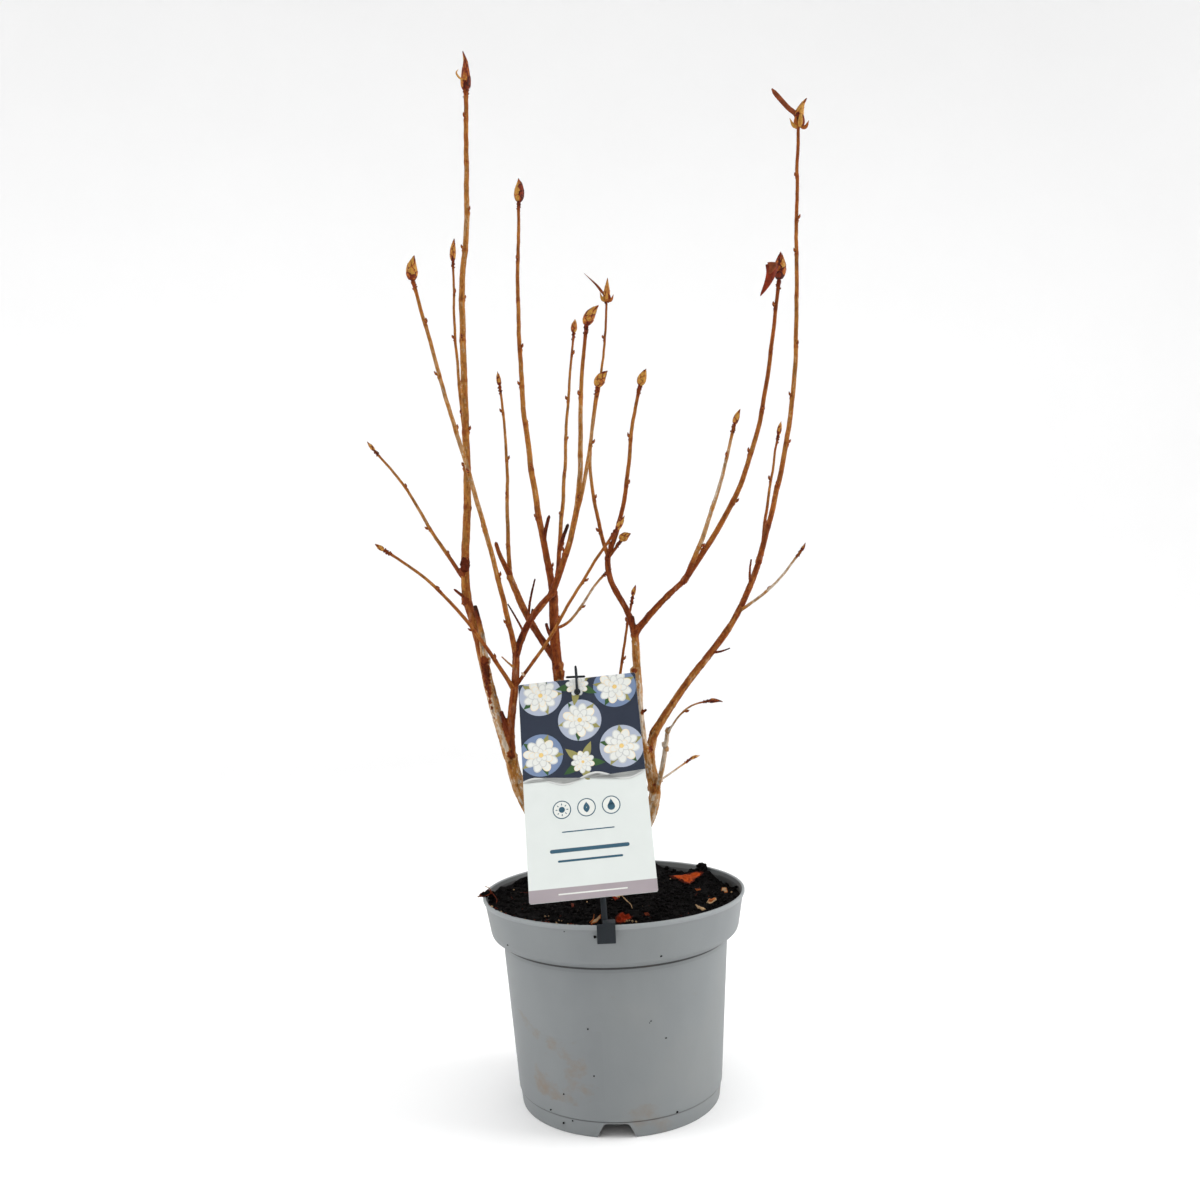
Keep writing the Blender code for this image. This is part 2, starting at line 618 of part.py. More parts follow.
def tube_mesh(name, path, radii, sides):
    """A closed tube with flat ends, or a point where the last radius is zero."""
    points = []
    direction = (path[1] - path[0]).normalized()
    across = direction.orthogonal().normalized()
    pointed = radii[-1] <= 0.0
    for index, centre in enumerate(path):
        before = path[max(index - 1, 0)]
        after = path[min(index + 1, len(path) - 1)]
        direction = (after - before).normalized()
        across = (across - direction * across.dot(direction)).normalized()
        beside = direction.cross(across)
        if pointed and index == len(path) - 1:
            points.append(tuple(centre))
            continue
        for side in range(sides):
            angle = math.tau * side / sides
            corner = centre + (across * math.cos(angle) + beside * math.sin(angle)) * radii[index]
            points.append(tuple(corner))
    rings = len(path) - (1 if pointed else 0)
    faces = [tuple(reversed(range(sides)))]
    for ring in range(rings - 1):
        for side in range(sides):
            after = (side + 1) % sides
            low = ring * sides
            faces.append((low + side, low + after, low + sides + after, low + sides + side))
    top = (rings - 1) * sides
    if pointed:
        tip = len(points) - 1
        faces += [(top + side, top + (side + 1) % sides, tip) for side in range(sides)]
    else:
        faces.append(tuple(range(top, top + sides)))
    return mesh_from(name, points, faces)


def point_on(path, share):
    """The point at a share of a path's length."""
    lengths = [(after - before).length for before, after in zip(path, path[1:])]
    left = share * sum(lengths)
    for index, length in enumerate(lengths):
        if left <= length or index == len(lengths) - 1:
            return path[index].lerp(path[index + 1], min(1.0, left / length))
        left -= length
    return path[-1]


def centre_line(root, limb, step):
    """The limb's centre line: the chord from root to tip, arched once and waved once."""
    tip = Vector(limb.tip)
    chord = tip - root
    count = max(3, round(chord.length / step))
    arch = Vector((limb.arch[0], DEPTH_ARCH * chord.y, limb.arch[1]))
    ess = Vector((limb.ess[0], 0.0, limb.ess[1]))
    path = []
    for index in range(count + 1):
        share = index / count
        bend = arch * math.sin(math.pi * share) + ess * math.sin(math.tau * share)
        path.append(root + chord * share + bend)
    return path


def limb_radii(limb, path):
    """Radii that taper from root to tip, with a swelling where the limb leaves its parent."""
    radii = []
    walked = 0.0
    total = sum((after - before).length for before, after in zip(path, path[1:]))
    for index in range(len(path)):
        if index:
            walked += (path[index] - path[index - 1]).length
        radius = limb.root_radius + (limb.tip_radius - limb.root_radius) * walked / total
        radii.append(radius * (1.0 + ROOT_SWELL * math.exp(-walked / ROOT_SWELL_LENGTH)))
    return radii


def add_bud(limb, path, radii):
    """Carries the path on from the shoot's tip through a bud that swells and closes."""
    reach = Vector(limb.bud.reach)
    ahead = (path[-1] - path[-2]).normalized() * reach.length
    bud_path = []
    bud_radii = []
    for share, swell in BUD_PROFILE:
        straight = ahead.lerp(reach, share)
        bud_path.append(path[-1] + straight * share)
        bud_radii.append(limb.bud.radius * swell)
    return path + bud_path, radii + bud_radii


class Grown:
    """A limb that has been placed: its centre line, radii and number of sides."""

    def __init__(self, limb, root):
        thick = limb.root_radius >= THICK_RADIUS and limb.bud is None
        thin = limb.root_radius < THIN_RADIUS
        self.sides = BOUGH_SIDES if thick else (TWIG_SIDES if thin else SHOOT_SIDES)
        step = BOUGH_RING_STEP if limb.bud is None else SHOOT_RING_STEP
        path = centre_line(root, limb, step)
        radii = limb_radii(limb, path)
        self.line = path
        if limb.bud:
            path, radii = add_bud(limb, path, radii)
        self.path = path
        self.radii = radii
        self.limb = limb

    def solid(self, name, swell=0.0):
        """The limb's tube, or a slightly fatter one to cut its neighbours clear."""
        path = list(self.path)
        radii = [radius + swell if radius > 0.0 else 0.0 for radius in self.radii]
        if swell:
            path[-1] = path[-1] + (path[-1] - path[-2]).normalized() * swell
        return add_object(name, tube_mesh(name, path, radii, self.sides))

    def at(self, share):
        """The centre at a share of the limb's length."""
        return point_on(self.line, share)


def side_buds(grown, chance):
    """Small pointed buds in a spiral along a shoot, each pressed close to the wood."""
    buds = []
    total = sum((after - before).length for before, after in zip(grown.line, grown.line[1:]))
    place = SIDE_BUD_STEP * chance.uniform(0.6, 1.0)
    turn = chance.uniform(0.0, math.tau)
    while place < total - SIDE_BUD_STEP * 0.5:
        share = place / total
        centre = grown.at(share)
        ahead = (grown.at(min(1.0, share + 0.02)) - centre).normalized()
        across = ahead.orthogonal().normalized()
        outward = across * math.cos(turn) + ahead.cross(across) * math.sin(turn)
        radius = grown.limb.root_radius + (grown.limb.tip_radius - grown.limb.root_radius) * share
        foot = centre + outward * (radius - SIDE_BUD_RADIUS * 0.9)
        tip = foot + ahead * SIDE_BUD_LENGTH + outward * (SIDE_BUD_RADIUS + SIDE_BUD_LEAN)
        middle = foot.lerp(tip, SIDE_BUD_WAIST) + outward * GAP
        name = "%s_bud_%d" % (grown.limb.name, len(buds))
        radii = [SIDE_BUD_RADIUS * 0.8, SIDE_BUD_RADIUS, 0.0]
        mesh = tube_mesh(name, [foot, middle, tip], radii, SIDE_BUD_SIDES)
        buds.append(add_object(name, mesh))
        place += SIDE_BUD_STEP * chance.uniform(0.8, 1.25)
        turn += LEAF_TURN
    return buds


def crown_solid(name, swell=0.0):
    """The flared, slightly ribbed stock, or a slightly fatter one to cut the stems clear of it."""
    sides = CROWN_SIDES
    foot_height = SOIL_CROWN_HEIGHT + GAP
    points = []
    for level in range(CROWN_LEVELS + 1):
        share = level / CROWN_LEVELS
        flare = (1.0 - share) ** CROWN_FLARE_CURVE
        radius = CROWN_WAIST_RADIUS + (CROWN_FLARE_RADIUS - CROWN_WAIST_RADIUS) * flare
        if level == CROWN_LEVELS:
            radius *= CROWN_TOP_SHARE
        centre_x = CROWN_FOOT[0] + CROWN_LEAN[0] * share
        centre_y = CROWN_FOOT[1] + CROWN_LEAN[1] * share
        for side in range(sides):
            angle = math.tau * side / sides
            rib = 1.0 + BUTTRESS_DEPTH * flare * math.cos(CROWN_BUTTRESSES * angle + BUTTRESS_TURN)
            x = centre_x + (radius * rib + swell) * math.cos(angle)
            y = centre_y + (radius * rib + swell) * math.sin(angle)
            points.append((x, y, foot_height + (CROWN_HEIGHT + swell) * share))
    faces = [tuple(reversed(range(sides)))]
    for level in range(CROWN_LEVELS):
        for side in range(sides):
            after = (side + 1) % sides
            low = level * sides
            faces.append((low + side, low + after, low + sides + after, low + sides + side))
    faces.append(tuple(range(CROWN_LEVELS * sides, (CROWN_LEVELS + 1) * sides)))
    return add_object(name, mesh_from(name, points, faces))


def make_trunk():
    """The root crown, from a flat cut at soil level to its fork."""
    trunk = crown_solid("trunk")
    smooth(trunk, 50.0)
    trunk.data.materials.append(finish("trunk", "bark"))


def grow_all():
    """Places every limb, parents first, and returns them by name."""
    grown = {}
    crown_top = SOIL_CROWN_HEIGHT + CROWN_HEIGHT - FORK_SINK
    crown = Vector((CROWN_FOOT[0] + CROWN_LEAN[0], CROWN_FOOT[1] + CROWN_LEAN[1], crown_top))
    limbs = BOUGHS + [limb for group in MASSES.values() for limb in group]
    for limb in limbs:
        if limb.parent == "trunk":
            lean = (Vector(limb.tip) - crown).normalized()
            root = crown + Vector((lean.x, lean.y, 0.0)) * CROWN_WAIST_RADIUS * FORK_SPREAD
        else:
            root = grown[limb.parent].at(limb.at)
        grown[limb.name] = Grown(limb, root)
    return grown


def cutters_for(name, limbs, grown, earlier):
    """Fatter copies of the parent and of what already grows beside these limbs."""
    parent = limbs[0].parent
    cutters = []
    if parent == "trunk":
        cutters.append(crown_solid(name + "_crown_cut", GAP * 1.5))
    else:
        cutters.append(grown[parent].solid(name + "_parent_cut", GAP))
    for other in earlier:
        cutters.append(grown[other].solid("%s_%s_cut" % (name, other), GAP))
    return cutters


def make_bough(limb, grown, earlier):
    """One tapering bough, cut clear of its parent and of the boughs beside it."""
    bough = grown[limb.name].solid(limb.name)
    boolean(bough, cutters_for(limb.name, [limb], grown, earlier), "DIFFERENCE")
    keep_largest(bough)
    smooth(bough)
    bough.data.materials.clear()
    bough.data.materials.append(finish(limb.name, "bark"))


def make_mass(name, limbs, grown, earlier, chance):
    """One mass: its shoots, buds and dead stubs joined to one solid and cut clear of the bough."""
    mass = grown[limbs[0].name].solid(name)
    pieces = [grown[limb.name].solid(limb.name) for limb in limbs[1:]]
    for limb in limbs:
        if limb.bud:
            pieces += side_buds(grown[limb.name], chance)
    boolean(mass, pieces, "UNION")
    boolean(mass, cutters_for(name, limbs, grown, earlier), "DIFFERENCE")
    keep_largest(mass)
    smooth(mass)
    mass.data.materials.clear()
    mass.data.materials.append(finish(name, "shoots"))


def keep_largest(thing):
    """Drops loose scraps that a cut left behind."""
    shape = bmesh.new()
    shape.from_mesh(thing.data)
    left = set(shape.verts)
    groups = []
    while left:
        front = [left.pop()]
        group = list(front)
        while front:
            vert = front.pop()
            for edge in vert.link_edges:
                other = edge.other_vert(vert)
                if other in left:
                    left.remove(other)
                    front.append(other)
                    group.append(other)
        groups.append(group)
    groups.sort(key=len, reverse=True)
    for group in groups[1:]:
        bmesh.ops.delete(shape, geom=group, context="VERTS")
    shape.to_mesh(thing.data)
    shape.free()


def make_plant():
    """The root crown, the boughs and the masses of shoots."""
    make_trunk()
    grown = grow_all()
    chance = random.Random(SEED)
    siblings = {}
    for limb in BOUGHS:
        earlier = siblings.setdefault(limb.parent, [])
        make_bough(limb, grown, earlier)
        earlier.append(limb.name)
    for name, limbs in MASSES.items():
        earlier = siblings.setdefault(limbs[0].parent, [])
        make_mass(name, limbs, grown, earlier, chance)
        earlier.append(limbs[0].name)


def main():
    clear_scene()
    make_pot()
    make_soil()
    frame = label_frame()
    make_card(frame)
    make_holder(frame)
    make_plant()


main()
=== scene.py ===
"""The looks of a bare azalea in its nursery pot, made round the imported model.

Sizes are in millimetres and become metres where a mesh is made. The plant is grown by the same
rule as its solids: each limb is a chord from root to tip, bent by one arch and one S. Here it
is carried on to bark relief, leaf scars, bud scales, dead stubs and the last withered leaves.
"""

import json
import math
import random
from collections import namedtuple

import bmesh
import bpy
import numpy as np
from mathutils import Euler, Matrix, Vector, kdtree, noise

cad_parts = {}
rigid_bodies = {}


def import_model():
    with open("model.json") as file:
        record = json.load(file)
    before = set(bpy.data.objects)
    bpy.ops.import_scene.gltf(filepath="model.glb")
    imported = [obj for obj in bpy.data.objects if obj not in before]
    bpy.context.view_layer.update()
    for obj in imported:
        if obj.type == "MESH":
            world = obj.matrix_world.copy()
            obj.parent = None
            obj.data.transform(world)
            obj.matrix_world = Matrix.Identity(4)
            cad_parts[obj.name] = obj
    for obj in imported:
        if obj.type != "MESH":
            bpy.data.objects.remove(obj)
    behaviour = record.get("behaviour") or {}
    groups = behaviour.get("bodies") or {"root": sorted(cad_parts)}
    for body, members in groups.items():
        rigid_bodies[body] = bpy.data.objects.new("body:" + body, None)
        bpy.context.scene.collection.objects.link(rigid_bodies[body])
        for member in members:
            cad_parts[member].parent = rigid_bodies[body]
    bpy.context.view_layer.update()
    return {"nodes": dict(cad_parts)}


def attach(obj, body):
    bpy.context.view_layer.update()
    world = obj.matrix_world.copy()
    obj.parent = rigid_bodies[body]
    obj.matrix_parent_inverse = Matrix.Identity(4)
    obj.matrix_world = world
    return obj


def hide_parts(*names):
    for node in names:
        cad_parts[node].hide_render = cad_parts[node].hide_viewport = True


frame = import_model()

MM = 0.001

# Vector noise takes its offsets from the clock unless it has a seed
NOISE_SEED = 27
noise.seed_set(NOISE_SEED)

# ---------------------------------------------------------------- named sizes

# Camera, with the lens as a share of the sensor's width, and its turn, tilt and roll
SENSOR_WIDTH = 36.0
LENS_SHARE = 1033.5 / 1200.0
CAMERA_PLACE = (-0.9, -775.0, 339.2)
CAMERA_TURN = -0.0013
CAMERA_TILT = -0.0306
CAMERA_ROLL = -0.0384

# Floor, the curve at its edge and the wall round it, in metres
FLOOR_INNER_RING = 1.2
FLOOR_RADIUS = 2.0
COVE_RADIUS = 1.2
WALL_HEIGHT = 3.4

# Light: each lamp's name, place, target and size in metres, and its power in watts
SURROUND_STRENGTH = 0.72
LAMPS = [
    ("key", (-1.85, -0.3, 1.2), (0.0, 0.0, 0.4), 1.2, 18.0),
    ("fill", (1.85, -0.15, 1.1), (0.0, 0.0, 0.35), 1.2, 29.0),
    ("top", (0.0, 0.3, 2.6), (0.0, 0.0, 0.3), 1.6, 8.0),
]

# Pot
POT_SEGMENTS = 168
POT_HEIGHT = 148.0
RIM_RADIUS = 96.6
LIP_HEIGHT = 4.0
LIP_SLOPE = 1.4
COLLAR_TOP_RADIUS = 95.1
COLLAR_DEPTH = 32.0
COLLAR_FOOT_RADIUS = 91.2
COLLAR_CHAMFER = 6.5
BODY_TOP_RADIUS = 82.8
BODY_FOOT_RADIUS = 74.5
POT_WALL = 1.8
POT_EDGE = 0.8
FOOT_RADIUS = 72.8
FOOT_STEP_RADIUS = 73.8
FOOT_HEIGHT = 11.0
FLOOR_RAISED = 11.6
FLOOR_FILLET = 2.5
DISH_RADIUS = 24.0
DISH_SLOPE = 7.0
NOTCH_COUNT = 3
NOTCH_START = math.radians(-93.25)
NOTCH_HEIGHT = 9.8
NOTCH_TOP_WIDTH = 16.6
NOTCH_FOOT_WIDTH = 26.5
NOTCH_DEPTH = 12.0
NOTCH_CORNER = 2.6
DRAIN_COUNT = 6
DRAIN_START = math.radians(60.0)
DRAIN_RADIUS = 4.5
DRAIN_SIDES = 20
DRAIN_RING_RADIUS = 50.0

# Grains of compost stuck to the pot: angle round it in degrees, height and share of the usual size
SPECKS = [
    (-98.2, 140.1, 0.9), (-71.2, 124.0, 0.5), (-144.6, 125.1, 0.5), (-105.2, 74.5, 0.5), (-74.4, 78.3, 0.4),
    (-66.7, 65.0, 0.4), (-103.5, 42.7, 0.45), (-121.1, 27.2, 0.45), (-130.9, 13.4, 0.5), (-123.2, 6.2, 0.6),
    (-117.3, 9.4, 0.45), (-60.2, 12.4, 0.6), (-110.8, 143.0, 0.35), (-75.1, 77.2, 0.3),
]
SPECK_SIZE = 1.6

# Soil, and how high it lies against the wall by the angle round the pot in degrees
SOIL_CROWN_HEIGHT = 143.0
SOIL_EDGE = [
    (-180, 142.2), (-166, 143.8), (-140, 145.2), (-90, 144.8), (-45, 144.0), (0, 142.5), (14, 140.6),
    (22, 139.0), (30, 142.4), (34, 145.2), (42, 145.6), (48, 141.5), (57, 138.8), (63, 142.4), (68, 145.6),
    (80, 146.0), (110, 145.2), (144, 144.6), (151, 142.2), (160, 144.6), (170, 142.8), (180, 142.2),
]
SOIL_RINGS = 90
SOIL_SEGMENTS = 260
SOIL_CLEARANCE = 0.35
CRUMB_COUNT = 3400
FIBRE_COUNT = 60
RIM_GRAIN_COUNT = 46
FIBRE_SIDES = 6
FLAKE_RINGS = 5

# Label
CARD_WIDTH = 85.5
CARD_LENGTH = 156.4
CARD_THICKNESS = 0.8
CARD_FOOT = (-13.5, -90.0, 164.5)
CARD_LEAN = 25.1
CARD_SPIN = -4.6
CARD_YAW = -4.2
CARD_CORNER = 1.5
CARD_MARGIN = 0.05
HOLE_HEIGHT = 145.5
SIGN_HEIGHT = 61.0
BAND_HEIGHT = 8.6

# The label's picture: its inks by number, with their colours on screen
INKS = [
    ("ink_ground", (40, 47, 62)),
    ("ink_slate", (112, 130, 160)),
    ("ink_green", (52, 84, 46)),
    ("ink_olive", (142, 138, 84)),
    ("ink_shade", (196, 198, 196)),
    ("ink_cream", (226, 214, 190)),
    ("ink_white", (218, 220, 215)),
    ("ink_yellow", (222, 190, 120)),
    ("ink_teal", (52, 86, 104)),
    ("ink_band", (158, 149, 153)),
    ("ink_haze", (164, 172, 188)),
]
INK_GROUND, INK_SLATE, INK_GREEN, INK_OLIVE, INK_SHADE, INK_CREAM = range(6)
INK_WHITE, INK_YELLOW, INK_TEAL, INK_BAND, INK_HAZE = range(6, 11)
INK_STEP = 0.03
PICTURE_INKS = (INK_SLATE, INK_GREEN, INK_OLIVE, INK_SHADE, INK_CREAM, INK_WHITE, INK_HAZE)
PICTURE_FOOT = 84.0

# Rosettes: x, and height as a share of half the picture from its middle, the large ones first
ROSETTES = [(-27, 0.72), (27, 0.74), (0, 0.12), (-29, -0.52), (28, -0.5), (0, 0.86), (0, -0.74)]
LARGE_ROSETTES = 5

# A rosette's rings of petals: how many, how far out, how long and how wide by its radius
PETAL_RINGS = [(9, 0.66, 0.36, 0.26), (7, 0.42, 0.30, 0.22), (5, 0.20, 0.22, 0.17)]

# Label holder
CLIP_X = -6.0
CLIP_WIDTH = 12.2
CLIP_DROP = 12.4
CLIP_ROOF_WIDTH = 8.2
CLIP_ROOF_SHIFT = 2.0
CLIP_THICKNESS = 1.8
CLIP_INSIDE_DROP = 5.0
CLIP_TONGUE_REACH = 90.2
CLIP_EDGE = 0.5
ROD_SIDES = 18
STEM_RADIUS = 2.0
STEM_BEHIND = 3.0
STEM_TAPER = (1.0, 1.0, 0.9, 0.7)
STEM_FOOT = (-0.6, 0.66, -1.0)
STEM_BEND = (5.5, 12.0)
CROSSBAR_LENGTH = 14.2
CROSSBAR_RADIUS = 0.85
CROSSBAR_RISE = 2.9
CROSSBAR_SHIFT = -0.8
CROSSBAR_TILT = 0.5
PIN_RISE = 6.2
PIN_CLEARANCE = 0.5
PIN_TAPER = (1.0, 1.0, 0.9, 0.9, 1.0, 1.25)
KNOB_RADIUS = 2.3
KNOB_DEPTH = 1.4

# Limbs
SEED = 27
CROWN_FLARE_RADIUS = 13.5
CROWN_WAIST_RADIUS = 9.0
CROWN_HEIGHT = 22.0
CROWN_LEAN = (-2.0, 4.0)
CROWN_FOOT = (0.0, 6.0)
CROWN_BUTTRESSES = 5
DEPTH_ARCH = 0.12
ROOT_SWELL = 0.22
ROOT_SWELL_LENGTH = 7.0
SIDE_BUD_STEP = 34.0
LEAF_TURN = math.radians(137.5)
BOUGH_STEP = 2.0
SHOOT_STEP = 1.2
BARK_VOXEL = 0.6

# A limb: its parent and the share of it where it starts, its tip, its arch and its S sideways and up,
# and its radii. A living shoot ends in a bud, given by how far it reaches past the tip and how thick it is.
Limb = namedtuple("Limb", "name parent at tip arch ess root_radius tip_radius bud", defaults=(None,))
Bud = namedtuple("Bud", "reach radius")

BOUGHS = [
    Limb("bough_left", "trunk", 1.0, (-72, -12, 250), (-15, -5), (0, 0), 6.2, 4.7),
    Limb("bough_left_outer", "bough_left", 1.0, (-101, -5, 367), (-1, 0), (-1, 0), 4.3, 3.3),
    Limb("bough_left_inner", "bough_left", 0.97, (-65, -16, 325), (-1, 0), (-1, 0), 3.4, 2.6),
    Limb("bough_cross", "bough_left_inner", 1.0, (-37, -21, 368), (-3, 2), (0, 0), 2.6, 2.4),
    Limb("bough_centre", "trunk", 1.0, (-36, -14, 368), (-8, 0), (2, 0), 6.0, 3.2),
    Limb("bough_centre_left", "bough_centre", 0.77, (-69, 3, 383), (-3, -1), (0, 0), 2.8, 2.5),
    Limb("bough_right", "trunk", 1.0, (36.2, 7.6, 260), (14, -3), (1.2, 0), 6.2, 3.3),
    Limb("bough_right_outer", "bough_right", 1.0, (123, 30, 389), (4.5, -3), (-2, 2), 3.0, 2.3),
    Limb("bough_right_inner", "bough_right", 0.61, (23, -3, 337), (-4, 0), (-1, 0), 3.3, 2.9),
    Limb("bough_right_upper", "bough_right_inner", 1.0, (5, -3, 394), (-2, 0), (2, 0), 2.4, 2.2),
    Limb("bough_right_arching", "bough_right_inner", 1.0, (60, -16, 374), (-1, 1), (0, 0), 2.6, 2.2),
]

# Shoots that grow from one place are one mass. The first is the stem that the others leave.
MASSES = {
    "shoots_left_tall": [
        Limb("tall", "bough_left_outer", 1.0, (-92, 25, 769), (-2, 0), (0, 0), 3.2, 1.7,
             Bud((0.5, 2.5, 33), 4.1)),
        Limb("tall_side", "tall", 0.28, (-110, 49, 641), (-3, 0), (0, 0), 1.4, 0.9, Bud((1, 6, 22), 2.5)),
        Limb("far_left", "tall", 0.035, (-177, 46, 490), (-1, 4), (-1, -1), 1.6, 0.9, Bud((-7, 4, 9), 1.6)),
        Limb("tall_twig", "tall", 0.0, (-110, -9, 375), (0, 0), (0, 0), 1.2, 0.9),
    ],
    "shoots_left_front": [
        Limb("front", "bough_left_inner", 1.0, (-121, -76, 583), (2.5, 0), (1, 0), 2.0, 1.2,
             Bud((2, -4, 17), 4.1)),
    ],
    "shoots_left_low": [
        Limb("low_left", "bough_left_inner", 0.66, (-147, -73, 400), (2, 13), (0, 0), 1.6, 0.9,
             Bud((-6, -3, 4.5), 1.7)),
    ],
    "shoots_middle_low": [
        Limb("low_middle", "bough_left_inner", 0.69, (11, -58, 409), (1, 0), (0, -2), 1.3, 1.0,
             Bud((6.5, -4, 10), 2)),
        Limb("low_stub", "low_middle", 0.09, (-60, -30, 312), (0, 0), (0, 0), 1.0, 0.8),
    ],
    "shoots_centre_back": [
        Limb("centre", "bough_centre", 1.0, (-54, 31, 680), (-10.5, 0), (0, 0), 2.6, 1.2,
             Bud((1.3, 3, 21), 4.2)),
        Limb("centre_dead", "centre", 0.12, (-37, -11, 427), (-1, 0), (0, 0), 1.5, 1.2),
    ],
    "shoots_centre_front": [
        Limb("fork", "bough_cross", 1.0, (-4, -61, 552), (8.5, 0), (3.5, 0), 2.4, 1.2,
             Bud((9.5, -4, 13.5), 4)),
        Limb("fork_right", "fork", 0.27, (2, -68, 507), (2.3, 0), (0.5, 0), 1.6, 1.1,
             Bud((7.5, -5, 10.5), 3.8)),
        Limb("fork_left", "fork", 0.06, (-15, 50, 580), (-0.5, 0), (0.5, 0), 1.7, 0.9,
             Bud((1.7, 4.6, 13), 2.6)),
        Limb("fork_dead", "fork_left", 0.115, (-23, -21, 419), (0, 0), (0, 0), 1.5, 1.2),
    ],
    "shoots_centre_left": [
        Limb("slim", "bough_centre_left", 1.0, (-74, 28, 534), (1.5, 0), (-1, 0), 1.7, 0.9,
             Bud((-1.5, 2, 12.5), 1.9)),
        Limb("slim_dead", "slim", 0.01, (-78, -7, 409), (-1, 0), (0, 0), 2.0, 1.4),
    ],
    "shoots_centre_low": [
        Limb("low_right", "bough_centre", 0.88, (4, 13, 384), (1, -3), (0, -3), 1.1, 0.9,
             Bud((4, 2, 3), 1.4)),
    ],
    "shoots_right_middle": [
        Limb("upright", "bough_right_upper", 1.0, (33, -30, 516), (3, 0), (2, 0), 1.8, 1.2,
             Bud((5, -3, 12), 3.4)),
        Limb("upright_back", "upright", 0.01, (13, 67, 614), (-11, 0), (-4.5, 0), 1.5, 0.9,
             Bud((1.5, 6, 18), 2.8)),
        Limb("upright_bud", "upright", 0.0, (15, -8, 406), (0.4, -0.4), (0, 0), 1.2, 0.9,
             Bud((8, -3, 5), 3.4)),
        Limb("upright_dead", "upright", 0.03, (7, -9, 407), (0, 0), (0, 0), 1.0, 0.7),
    ],
    "shoots_right_arching": [
        Limb("arching", "bough_right_arching", 1.0, (131, -63, 578), (16.5, -7), (2, 0), 2.2, 1.2,
             Bud((1.3, -4, 19.5), 4.5)),
        Limb("arching_inner", "arching", 0.02, (94, -75, 476), (3, 0), (0, 0), 1.9, 1.0,
             Bud((4, -6, 10), 2.1)),
    ],
    "shoots_right_tall": [
        Limb("right", "bough_right_outer", 1.0, (174, 51, 749), (14, 0), (3.5, 0), 2.2, 1.3,
             Bud((8, 1, 17), 4)),
        Limb("right_inner", "right", 0.02, (150, 73, 495), (0, 0), (0, 0), 1.4, 0.9, Bud((4, 5, 13), 2)),
    ],
    "shoots_right_side": [
        Limb("side", "bough_right_outer", 0.73, (148, -11, 393), (2, -3), (0, 0), 1.2, 0.8,
             Bud((3, -4, 6), 1.3)),
    ],
    "spur_right_front": [
        Limb("spur", "bough_right", 0.59, (44, -11, 264), (1, -1), (0, 0), 2.0, 1.6),
        Limb("spur_twig", "spur", 0.97, (73, -38, 287), (-1.5, 6), (0, 0), 0.75, 0.6,
             Bud((9, -7, -0.5), 1.8)),
    ],
    "spur_right_back": [
        Limb("back_twig", "bough_right", 0.66, (63, 33, 237), (2, 0.5), (0, 0), 0.8, 0.6,
             Bud((9, 7, 2), 1.3)),
    ],
    "shoot_behind_label": [
        Limb("hidden", "trunk", 1.0, (23, 14, 365), (-6, 0), (0, 0), 1.5, 0.9, Bud((3, 0, 9), 1.7)),
    ],
}

BOUGH_NAMES = {limb.name for limb in BOUGHS}
LIMBS = BOUGHS + [limb for group in MASSES.values() for limb in group]

# How much of a shoot's foot the boughs' bark takes in, and the sides of a shoot's tube
FOOT_LENGTH = 9.0
SHOOT_SIDES = 16
RING_SCAR_LENGTH = 16.0
SIDE_BUD_SIDES = 10
SIDE_BUD_SWELLS = (0.55, 0.8, 0.98, 1.05, 1.0, 0.84, 0.6, 0.34, 0.06)

# A terminal bud's radius along it, the share of it that its core fills, and the grid of each scale
BUD_PLACES = (0.0, 0.06, 0.14, 0.25, 0.36, 0.50, 0.64, 0.78, 0.90, 1.0)
BUD_SWELLS = (0.0, 0.52, 0.78, 0.95, 1.0, 0.94, 0.76, 0.50, 0.25, 0.04)
BUD_CORE_SHARE = 0.97
SCALE_ROWS = 8
SCALE_COLUMNS = 9

# The grid of a withered leaf
LEAF_ROWS = 16
LEAF_COLUMNS = 7
LEAF_HALF_THICKNESS = 0.12

# Short dead stubs and broken twigs on the boughs
EXTRAS = [
    Limb("stub_leader", "bough_left_outer", 0.56, (-94.1, -14, 362), (1.5, 0), (0, 0), 2.9, 1.5),
    Limb("stub_inner", "bough_left_inner", 0.86, (-75, -24, 324), (0, 0), (0, 0), 1.0, 0.6),
    Limb("stub_centre", "bough_centre", 0.83, (-42, -17, 347), (-1, 0), (0, 0), 1.5, 1.2),
    Limb("stub_centre_left", "bough_centre_left", 0.47, (-52, -8, 358), (0, 0), (0, 0), 1.5, 1.1),
    Limb("stub_cross", "bough_cross", 0.45, (-49, -16, 380), (-1, 0), (0, 0), 1.1, 0.8),
    Limb("stub_cross_twig", "bough_cross", 0.33, (-72, 8, 363), (0, 0), (0, 0), 1.0, 0.7),
    Limb("stub_right_outer", "bough_right_outer", 0.88, (116.4, 24, 391), (-1, 0), (0, 0), 1.1, 0.8),
    Limb("stub_right_side", "bough_right_outer", 0.49, (96, 15, 323), (0, -1), (0, 0), 1.1, 0.6),
    Limb("stub_right_inner", "bough_right_inner", 0.5, (29.6, -3, 280), (0, 0), (0, 0), 1.3, 0.9),
    Limb("stub_arching", "bough_right_inner", 0.96, (22, -5, 350), (0, 0), (0, 0), 1.6, 1.2),
    Limb("stub_left", "bough_left_inner", 0.22, (-77.4, -16.5, 284), (0, 0), (0, 0), 2.5, 1.3),
]

